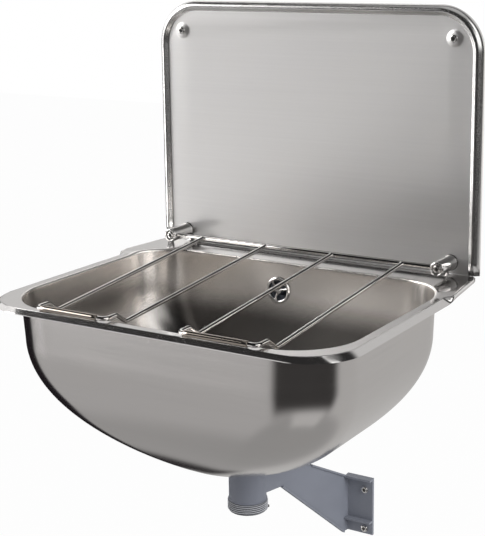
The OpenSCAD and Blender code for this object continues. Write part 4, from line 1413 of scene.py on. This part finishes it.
@dataclass
class Overflow:
    """The overflow: rosette and screw in the bowl, housing behind it and the pipe down to the outlet."""

    x: float = -19.5
    z: float = -33.0
    wall_y: float = 53.0
    ring_r: float = 16.5
    bore_r: float = 12.25
    out: float = 3.2
    hub_h: float = 1.92
    spoke_turn: float = 130.0
    housing_r: float = 15.5
    back: float = 18.0
    pipe_r: float = 8.0
    pipe_y: float = 34.0
    pipe_low: float = 230.0
    pipe_end: float = 143.7

    def rosette(self) -> None:
        """Makes the rosette: a rounded ring, three spokes and a hub."""
        shell = Shell()
        centre = (self.x, -self.wall_y - 0.2, self.z)
        mid, half = (self.ring_r + self.bore_r) / 2, (self.ring_r - self.bore_r) / 2
        profile = [(self.bore_r, 0.0), (self.ring_r, 0.0)]
        for a in (math.radians(180 * k / 14) for k in range(15)):
            profile.append((mid + half * math.cos(a), 0.9 + (self.out - 0.9) * math.sin(a)))
        shell.turn(profile, centre, OUTWARD, 72, around=True)
        for k in range(3):
            self.spoke(shell, math.radians(self.spoke_turn + 120 * k), centre)
        hub = [(2.2, 0.0), (4.3, 0.0), (4.5, 0.3), (4.5, 1.5), (4.2, 1.85), (2.2, self.hub_h)]
        shell.turn(hub, centre, OUTWARD, 40, around=True)
        piece = shell.make("overflow_rosette_ring", [Store.bright], sharp=35)
        fit(piece, "overflow_rosette")

    def spoke(self, shell: Shell, angle: float, centre: Point) -> None:
        """Adds one spoke, narrower in the middle, with a domed front.

        Args:
            shell: the rosette's mesh.
            angle: its direction.
            centre: the rosette's middle.
        """
        c, s = math.cos(angle), math.sin(angle)
        rows = []
        for share, half in ((0.0, 1.7), (0.25, 1.35), (0.6, 1.15), (1.0, 1.7)):
            r = mix(3.2, self.bore_r + 0.6, share)
            edge = [(-half, 0.0), (-half, 0.9), (-half * 0.6, 1.5)]
            section = edge + [(0.0, 1.68)] + [(-w, out) for w, out in reversed(edge)]
            row = []
            for w, out in section:
                row.append((centre[0] + c * r - s * w, centre[1] - out, centre[2] + s * r + c * w))
            rows.append(row)
        shell.loft(rows)

    def screw(self) -> None:
        """Makes the slotted screw that holds the rosette to the housing."""
        y = -self.wall_y - 0.2 - self.hub_h - 0.05
        shell = Shell()
        profile = [
            (0.0, 1.8), (1.6, 1.74), (2.6, 1.5), (3.2, 1.05), (3.5, 0.5), (3.5, 0.0), (2.0, 0.0),
            (2.0, -30.0),
        ]
        shell.turn(profile, (self.x, y, self.z), OUTWARD, 40, caps=False)
        piece = shell.make("overflow_screw_head", [Store.bright], sharp=40)
        slot = Shell()
        slot.box((self.x - 6, self.x + 6), (y - 0.9, y - 4), (self.z - 0.5, self.z + 0.5))
        carve(piece, slot.make("slot_cutter", [Store.bright], sharp=32))
        fit(piece, "overflow_screw")

    def housing(self) -> None:
        """Makes the round housing with its flange, screw core and pipe socket."""
        front = self.wall_y - 3.0
        length = front - self.back
        shell = Shell()
        r, p = self.housing_r, self.pipe_r
        profile = [
            (13.0, 0.0), (r + 3, 0.0), (r + 3, 2.6), (r + 2.6, 3.0), (r + 0.8, 3.0), (r, 3.8),
            (r, length - 1.2), (r - 1.2, length), (4.6, length), (4.6, length - 1.4), (13.0, length - 1.6),
        ]
        core = [(2.25, 4.0), (4.5, 4.0), (4.5, length - 0.6), (2.25, length - 0.6)]
        socket = [(p + 0.05, 0.0), (p + 1.7, 0.0), (p + 2, 0.3), (p + 2, 12.5), (p + 0.05, 12.5)]
        shell.turn(profile, (self.x, -front, self.z), BACKWARD, 64, around=True)
        shell.turn(core, (self.x, -front, self.z), BACKWARD, 32, around=True)
        shell.turn(socket, (self.x, -self.pipe_y, self.z - r - 6), UPWARD, 48, around=True)
        piece = shell.make("overflow_housing_shell", [Store.plastic], sharp=35)
        fit(piece, "overflow_housing")

    def pipe(self) -> None:
        """Makes the pipe, with its two bends, from the housing to the outlet."""
        corners = [
            Vector((self.x, -self.pipe_y, self.z - self.housing_r + 3.0)),
            Vector((self.x, -self.pipe_y, -self.pipe_low + 18)),
            Vector((0.0, -self.pipe_y - 22, -self.pipe_low)),
            Vector((0.0, -self.pipe_end, -self.pipe_low)),
        ]
        shell = Shell()
        shell.sweep([corners[0]] + bend(corners, 14.0, 10, 12.0) + [corners[-1]], self.pipe_r - 0.05, 40)
        fit(shell.make("overflow_pipe_run", [Store.plastic], sharp=40), "overflow_pipe")

    def build(self) -> None:
        """Makes the overflow's pieces."""
        self.rosette()
        self.screw()
        self.housing()
        self.pipe()


@dataclass
class Waste:
    """The strainer in the bowl's bottom and its screw."""

    y: float = -161.0
    low: float = -209.15
    sheet: float = 1.2
    plate_r: float = 27.0
    hole_r: float = 3.0
    holes: int = 8
    ring_r: float = 16.0

    def strainer(self) -> None:
        """Makes the pressed strainer plate with its ring of holes."""
        shell = Shell()
        r, t, centre = self.plate_r, self.sheet, (0.0, self.y, self.low)
        under, over = [], []
        for a in turns(self.holes):
            x, y = self.ring_r * math.cos(a), self.y + self.ring_r * math.sin(a)
            rings = []
            for out, z in ((0.0, 0.0), (0.0, 0.95), (0.12, 1.12), (0.3, t)):
                h = self.hole_r + out
                rings.append([(x + h * math.cos(b), y + h * math.sin(b), self.low + z) for b in turns(24)])
            numbers = shell.loft(rings, caps=False)
            under.append(numbers[0])
            over.append(numbers[-1])
        rim = [(23.5, 0.0), (r - 0.3, 0.0), (r, 0.25), (r, 0.8), (r - 0.5, 1.15), (r - 1.4, t), (22.5, t)]
        outer = shell.turn(rim, centre, UPWARD, 72, caps=False)
        raised = [(6.8, 0.0), (3.25, 0.0), (3.25, 2.1), (5.4, 2.1), (6.2, 1.7), (6.8, 1.35), (7.6, t)]
        boss = shell.turn(raised, centre, UPWARD, 40, caps=False)
        shell.fill([outer[0], boss[0]] + under)
        shell.fill([outer[-1], boss[-1]] + over)
        fit(shell.make("strainer_plate", [Store.bright], sharp=35), "strainer")

    def screw(self) -> None:
        """Makes the slotted strainer screw."""
        top = self.low + self.sheet + 1.05
        shell = Shell()
        head = [(0.0, 2.0), (2.6, 1.95), (3.9, 1.6), (4.7, 0.9), (5.0, 0.1), (2.9, 0.0), (2.9, -3.0)]
        shell.turn(head, (0.0, self.y, top), UPWARD, 40, caps=False)
        place = (0.0, self.y, top - 2.5)
        shell.screw_thread(place, DOWNWARD, radii=(2.45, 3.0), pitch=1.0, length=23.3, steps=24)
        piece = shell.make("strainer_screw_head", [Store.bright], sharp=40)
        slot = Shell()
        slot.box((-8, 8), (self.y - 0.6, self.y + 0.6), (top + 1.0, top + 4))
        carve(piece, slot.make("slot_cutter", [Store.bright], sharp=32))
        fit(piece, "strainer_screw")

    def build(self) -> None:
        """Makes the strainer and its screw."""
        self.strainer()
        self.screw()


@dataclass
class Bracket:
    """The moulded outlet tube, its arm and the wall plate, with their screws."""

    outlet_y: float = -161.0
    seat_top: float = -213.0
    end: float = -272.5
    tube_r: float = 22.25
    bore_r: float = 19.0
    crest_r: float = 23.9
    thread_h: float = 14.0
    thread_start: float = 0.5
    pitch: float = 2.309
    cut: float = 1.45
    seat_r: float = 29.0
    seat_h: float = 5.0
    plate_x: float = 86.0
    plate_top: float = -275.0
    plate_h: float = 76.0
    plate_t: float = 4.0
    chamfer: float = 0.5
    foot_x: float = 52.8
    arm_t: float = 3.5
    flange: float = 2.5
    rib: float = 8.0
    screw_x: float = 75.0
    screw_z: float = 26.25
    screw_mid: float = -317.6
    hole_r: float = 2.75
    lock_turn: float = 32.0
    lock_in: float = 19.4

    def tube(self) -> Shell:
        """Builds the outlet tube with its seat, thread and the bar that the strainer's screw bites in.

        Returns:
            The mesh.
        """
        shell = Shell()
        t, b, c, s, h = self.tube_r, self.bore_r, self.crest_r, self.seat_r, self.thread_h
        top = self.seat_top - self.end
        seat = top - self.seat_h
        profile = [
            (b, 1.0), (b + 0.8, 0.15), (b + 1.2, 0.0), (c - 1.7, 0.0), (c - 1.4, 0.3), (c - 1.4, h - 1.0),
            (c - 0.6, h - 0.4), (c - 0.6, h - 0.1), (t + 0.4, h + 0.2), (t, h + 0.7), (t, seat - 2.0),
            (t + 0.5, seat - 0.8), (t + 2.0, seat), (s - 0.5, seat), (s, seat + 0.5), (s, top - 0.5),
            (s - 0.5, top), (b, top),
        ]
        shell.turn(profile, (0.0, self.outlet_y, self.end), UPWARD, 96, around=True)
        rows = []
        start, span = self.thread_start, h - 1.4
        count = int(span / self.pitch * 12)
        for k in range(count + 1):
            d = start + span * k / count
            fade = smooth((d - start) / 1.2) * smooth((h - 0.7 - d) / 1.4)
            row = []
            for a in turns(96):
                r = c - self.cut + self.cut * clamp01(ridge(d, a, self.pitch) * 1.7 - 0.3) * fade
                row.append((r * math.cos(a), self.outlet_y + r * math.sin(a), self.end + d))
            rows.append(row)
        shell.loft(rows, caps=False)
        for side, _ in SIDES:
            y, z = (self.outlet_y - 5, self.outlet_y + 5), (self.seat_top - 4, self.seat_top - 18)
            shell.box((side * 3.1, side * (b + 0.5)), y, z)
        return shell

    def arm(self) -> Shell:
        """Builds the arm, which touches the tube's side, with the flanges along its edges.

        Returns:
            The mesh.
        """
        shell = Shell()
        back = -self.outlet_y - self.plate_t
        reach = math.sqrt(self.foot_x**2 + back**2 - self.tube_r**2)
        angle = math.atan2(self.foot_x, back) - math.asin(self.tube_r / math.hypot(self.foot_x, back))
        r, c, s = self.tube_r, math.cos(angle), math.sin(angle)

        def slab(outline: Sequence[Flat], low: float, high: float) -> None:
            """Adds a flat slab parallel to the arm's plane.

            Args:
                outline: its corners, along the arm and up.
                low: its back's distance out of the plane.
                high: its front's distance out of the plane.
            """
            sides = []
            for out in (low, high):
                x, y = r * c, self.outlet_y + r * s
                sides.append([(x + p[0] * s + out * c, y + p[0] * c - out * s, p[1]) for p in outline])
            shell.loft(sides)

        seat, foot = self.seat_top, self.plate_top - self.plate_h
        outline = [
            (0.0, seat - 12), (reach * 0.51, seat - 28.5), (reach, self.plate_top - 8.5), (reach, foot),
            (reach - 17, foot), (reach * 0.18, seat - 38.5), (0.0, seat - 37.5),
        ]
        slab(outline, -self.arm_t, 0.0)
        for p, q in ((outline[1], outline[2]), (outline[5], outline[4])):
            u = Vector((q[0] - p[0], q[1] - p[1])).normalized() * (self.flange / 2)
            strip = [
                (p[0] + u.y, p[1] - u.x), (q[0] + u.y, q[1] - u.x),
                (q[0] - u.y, q[1] + u.x), (p[0] - u.y, p[1] + u.x),
            ]
            slab(strip, -self.arm_t + 0.5, self.flange - 0.4)
        return shell

    def plate(self) -> Shell:
        """Builds the wall plate with chamfered edges and its two screw holes.

        Returns:
            The mesh.
        """
        shell = Shell()
        t, c = self.plate_t, self.chamfer
        rows = []
        for inset, y in ((c, -t), (0.0, c - t), (0.0, -c), (c, 0.0)):
            left, right = self.foot_x - 3 + inset, self.plate_x - inset
            foot, top = self.plate_top - self.plate_h + inset, self.plate_top - inset
            rows.append([(left, y, foot), (right, y, foot), (right, y, top), (left, y, top)])
        edges = shell.loft(rows, caps=False)
        loops = [[edges[0]], [edges[-1]]]
        for side, _ in SIDES:
            z = self.screw_mid + side * self.screw_z
            hole = [circle(self.screw_x, y, z, self.hole_r, 32) for y in (-t, 0.0)]
            for loop, row in zip(loops, shell.loft(hole, caps=False)):
                loop.append(row)
        for loop in loops:
            shell.fill(loop)
        return shell

    def ribs(self) -> Shell:
        """Builds the two ribs that cross the wall plate.

        Returns:
            The mesh.
        """
        shell = Shell()
        for z in (self.plate_top, self.plate_top - self.plate_h * 0.74):
            y = (-self.plate_t + 0.5, -self.plate_t - self.rib)
            shell.box((self.foot_x - 3, self.plate_x), y, (z, z - 3))
        return shell

    def screws(self) -> Shell:
        """Builds the wall plate's two screws.

        Returns:
            The mesh.
        """
        shell = Shell()
        for side, _ in SIDES:
            z = self.screw_mid + side * self.screw_z
            place = (self.screw_x, -self.plate_t - 2.65, z)
            WallScrew(*place, head_r=4.7, head_h=2.6, shank_r=2.5, reach=18.0).add_to(shell)
        return shell

    def lock(self) -> Shell:
        """Builds the small locking screw.

        Returns:
            The mesh.
        """
        shell = Shell()
        a = math.radians(self.lock_turn)
        c, s = math.cos(a), math.sin(a)
        socket = hexagon(0.7)
        profile = [(socket, 5.2), (socket, 5.95), (0.95, 6.1), (1.35, 6.0), (1.5, 5.7), (1.5, 0.0)]
        centre = (self.lock_in * c, self.outlet_y + self.lock_in * s, self.end + 2.6)
        shell.turn(profile, centre, (c, s, 0.0), 36)
        return shell

    def build(self) -> None:
        """Makes the moulding, its two screws and the small locking screw."""
        plastic = [Store.plastic]
        fit(self.tube().make("outlet_tube", plastic, sharp=35), "bracket")
        for name, shell, width in (
            ("bracket_arm", self.arm(), 0.6),
            ("wall_plate", self.plate(), 0.0),
            ("plate_ribs", self.ribs(), 0.6),
        ):
            piece = shell.make(name, plastic, sharp=30)
            if width:
                soften(piece, width)
            fit(piece)
        screws = self.screws().make("bracket_screw_set", [Store.bright, Store.socket_shade_and_dark_steel], sharp=40)
        fit(screws, "bracket_screws")
        lock = self.lock().make("locking_screw_head", [Store.socket_shade_and_dark_steel], sharp=40)
        fit(lock, "locking_screw")


class Seals:
    """The rubber seals and gaskets, which keep their CAD shapes."""

    names = (
        "boss_seal_left", "boss_seal_right", "overflow_gasket", "pipe_seal", "strainer_gasket",
        "outlet_gasket",
    )

    def build(self) -> None:
        """Gives each seal its rubber."""
        for name in self.names:
            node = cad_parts[name]
            node.data.materials.clear()
            node.data.materials.append(Store.rubber.material())
            log.info("%s keeps its CAD shape in rubber", name)


@dataclass(frozen=True)
class Board:
    """A light or dark board of the studio that the steel mirrors, by its directions in degrees."""

    turn: Flat
    lift: Flat
    tone: Colour
    soft_turn: float = 6.0
    soft_lift: float = 5.0


@dataclass
class Studio:
    """Floor, lamps and the surroundings that the steel mirrors."""

    floor_z: float = -1.3
    floor_size: float = 9.0
    floor_white: float = 0.975
    aim: Point = (0.0, -0.1, -0.2)
    plain: Colour = (0.36, 0.36, 0.37)
    # the floor far below, the floor nearer, the dark band at eye level and the ceiling, each from its lift
    below: Colour = (0.38, 0.375, 0.37)
    levels: tuple[tuple[Flat, Colour], ...] = (
        ((-54.0, 8.0), (0.44, 0.43, 0.425)),
        ((-13.0, 2.0), (0.03, 0.029, 0.029)),
        ((62.0, 6.0), (0.5, 0.495, 0.49)),
    )
    boards: tuple[Board, ...] = (
        # the pale floor in front on the left, and the one behind on the right
        Board((-78, -12), (-52, -12), (0.5, 0.49, 0.485)),
        Board((102, 222), (-50, -14), (0.55, 0.54, 0.53)),
        # the dark gap at the left, and the dark floor in front on the right with a pale part below it
        Board((-142, -84), (-48, -9), (0.015, 0.012, 0.014), 4, 3),
        Board((-6, 100), (-43, -8), (0.05, 0.047, 0.046), 8, 8),
        Board((28, 92), (-66, -47), (0.6, 0.59, 0.58), 8, 4),
        # the pale backdrop behind, with a white part low at its near side and one high at its far side
        Board((142, 238), (6, 42), (0.7, 0.69, 0.68), 8, 5),
        Board((138, 176), (-14, 13), (1.0, 0.98, 0.96), 5, 3),
        Board((200, 238), (28, 42), (1.5, 1.48, 1.46), 6, 4),
        # the white wall in front on the left, the strip beside it and the one at its floor
        Board((-70, -47), (-13, 38), (8.8, 8.62, 8.56), 4, 4),
        Board((-49, -41), (8, 38), (4.6, 4.55, 4.5), 4, 3),
        Board((-43, -10), (-18, -13), (1.1, 1.09, 1.08), 4, 2),
        # the soft box at the left with a white strip under it, and the two at the right
        Board((-112, -64), (6, 38), (2.8, 2.76, 2.72), 8, 5),
        Board((-104, -44), (-7, 8), (1.1, 1.09, 1.08), 2, 2),
        Board((40, 100), (6, 30), (1.8, 1.78, 1.76), 6, 5),
        Board((72, 104), (26, 58), (1.8, 1.78, 1.76), 6, 5),
    )

    def surroundings(self) -> None:
        """Makes the world: white for the camera, boards for mirrors and a plain level for the rest."""
        world = bpy.data.worlds.new("studio")
        bpy.context.scene.world = world
        graph = Graph(world)
        x, y, z = graph.axes(graph.out(graph.add("ShaderNodeTexCoord"), "Generated"))
        turn = graph.math("ARCTAN2", x, 0 - y) * (180 / math.pi)
        behind = turn + (turn * -1).step(0.0, 0.01) * 360
        lift = graph.math("ARCSINE", z) * (180 / math.pi)
        tone = self.below
        for edge, level in self.levels:
            tone = graph.blend(lift.step(*edge), tone, level)
        for board in self.boards:
            angle = behind if board.turn[1] > 180 else turn
            mask = angle.between(*board.turn, board.soft_turn) * lift.between(*board.lift, board.soft_lift)
            tone = graph.blend(mask, tone, board.tone)
        path = graph.add("ShaderNodeLightPath")
        plain = graph.blend(graph.out(path, "Is Camera Ray"), self.plain, WHITE)
        shown = graph.blend(graph.out(path, "Is Glossy Ray"), plain, tone)
        light = graph.add("ShaderNodeBackground", {"Color": shown, "Strength": 1.0})
        graph.add("ShaderNodeOutputWorld", {"Surface": graph.out(light, "Background")})

    def floor(self) -> None:
        """Makes the pale floor, which the camera sees as white with a faint shadow."""
        mesh = bpy.data.meshes.new("floor")
        size = self.floor_size
        corners = [(-size, -size), (size, -size), (size, size), (-size, size)]
        mesh.from_pydata([(a, b, self.floor_z) for a, b in corners], [], [(0, 1, 2, 3)])
        floor = bpy.data.objects.new("floor", mesh)
        bpy.context.scene.collection.objects.link(floor)
        material = bpy.data.materials.new("pale_floor")
        graph = Graph(material)
        matt = graph.add("ShaderNodeBsdfDiffuse", {"Color": (0.85, 0.85, 0.85)})
        white = graph.add("ShaderNodeEmission", {"Color": WHITE, "Strength": 1.0})
        camera = graph.out(graph.add("ShaderNodeLightPath"), "Is Camera Ray")
        ends = {"Fac": camera * self.floor_white, "Shader": graph.out(matt, "BSDF")}
        ends["Shader_001"] = graph.out(white, "Emission")
        both = graph.add("ShaderNodeMixShader", ends)
        graph.add("ShaderNodeOutputMaterial", {"Surface": graph.out(both, "Shader")})
        mesh.materials.append(material)
        floor.visible_glossy = False

    def lamp(self, name: str, place: Point, size: float, power: float) -> None:
        """Adds one soft lamp, which lights the matt pieces and isn't mirrored.

        Args:
            name: the lamp's name.
            place: where it stands, in metres.
            size: its side, in metres.
            power: its power in watts.
        """
        data = bpy.data.lights.new(name, "AREA")
        data.shape = "SQUARE"
        data.size = size
        data.energy = power
        lamp = bpy.data.objects.new(name, data)
        lamp.location = place
        lamp.rotation_euler = (Vector(self.aim) - Vector(place)).to_track_quat("-Z", "Y").to_euler()
        lamp.visible_glossy = False
        bpy.context.scene.collection.objects.link(lamp)

    def build(self) -> None:
        """Makes the studio."""
        self.surroundings()
        self.floor()
        self.lamp("key", (2.3, -0.5, 0.9), 1.4, 44.0)
        self.lamp("fill", (-1.6, -2.2, 0.6), 1.6, 4.0)


@dataclass
class PhotoCamera:
    """The camera at the photograph's place."""

    place: Point = (0.78197, -1.39566, 0.24067)
    right: Point = (0.84713985, 0.53120161, -0.01337616)
    up: Point = (-0.10210288, 0.18743044, 0.97695692)
    forward: Point = (-0.52146819, 0.8262534, -0.21301701)
    lens: float = 88.81
    sensor: float = 36.0
    shift: Flat = (-0.0066, -0.0748)

    def build(self) -> None:
        """Makes the camera and gives it to the scene."""
        data = bpy.data.cameras.new("photo_camera")
        data.lens = self.lens
        data.sensor_width = self.sensor
        data.sensor_fit = "AUTO"
        data.shift_x, data.shift_y = self.shift
        data.clip_end = 50.0
        camera = bpy.data.objects.new("photo_camera", data)
        axes = Matrix((self.right, self.up, [-c for c in self.forward])).transposed().to_4x4()
        camera.matrix_world = Matrix.Translation(self.place) @ axes
        bpy.context.scene.collection.objects.link(camera)
        bpy.context.scene.camera = camera


def main() -> None:
    """Builds the camera, the studio and the sink's sub-assemblies in order."""
    logging.basicConfig(level=logging.INFO, format="%(message)s")
    bpy.context.scene.view_settings.view_transform = "Standard"
    PhotoCamera().build()
    Studio().build()
    for part in (Splashback(), Basin(), HingeBosses(), Grating(), Overflow(), Waste(), Bracket(), Seals()):
        part.build()
        log.info("%s is dressed", type(part).__name__)


if __name__ == "__main__":
    main()
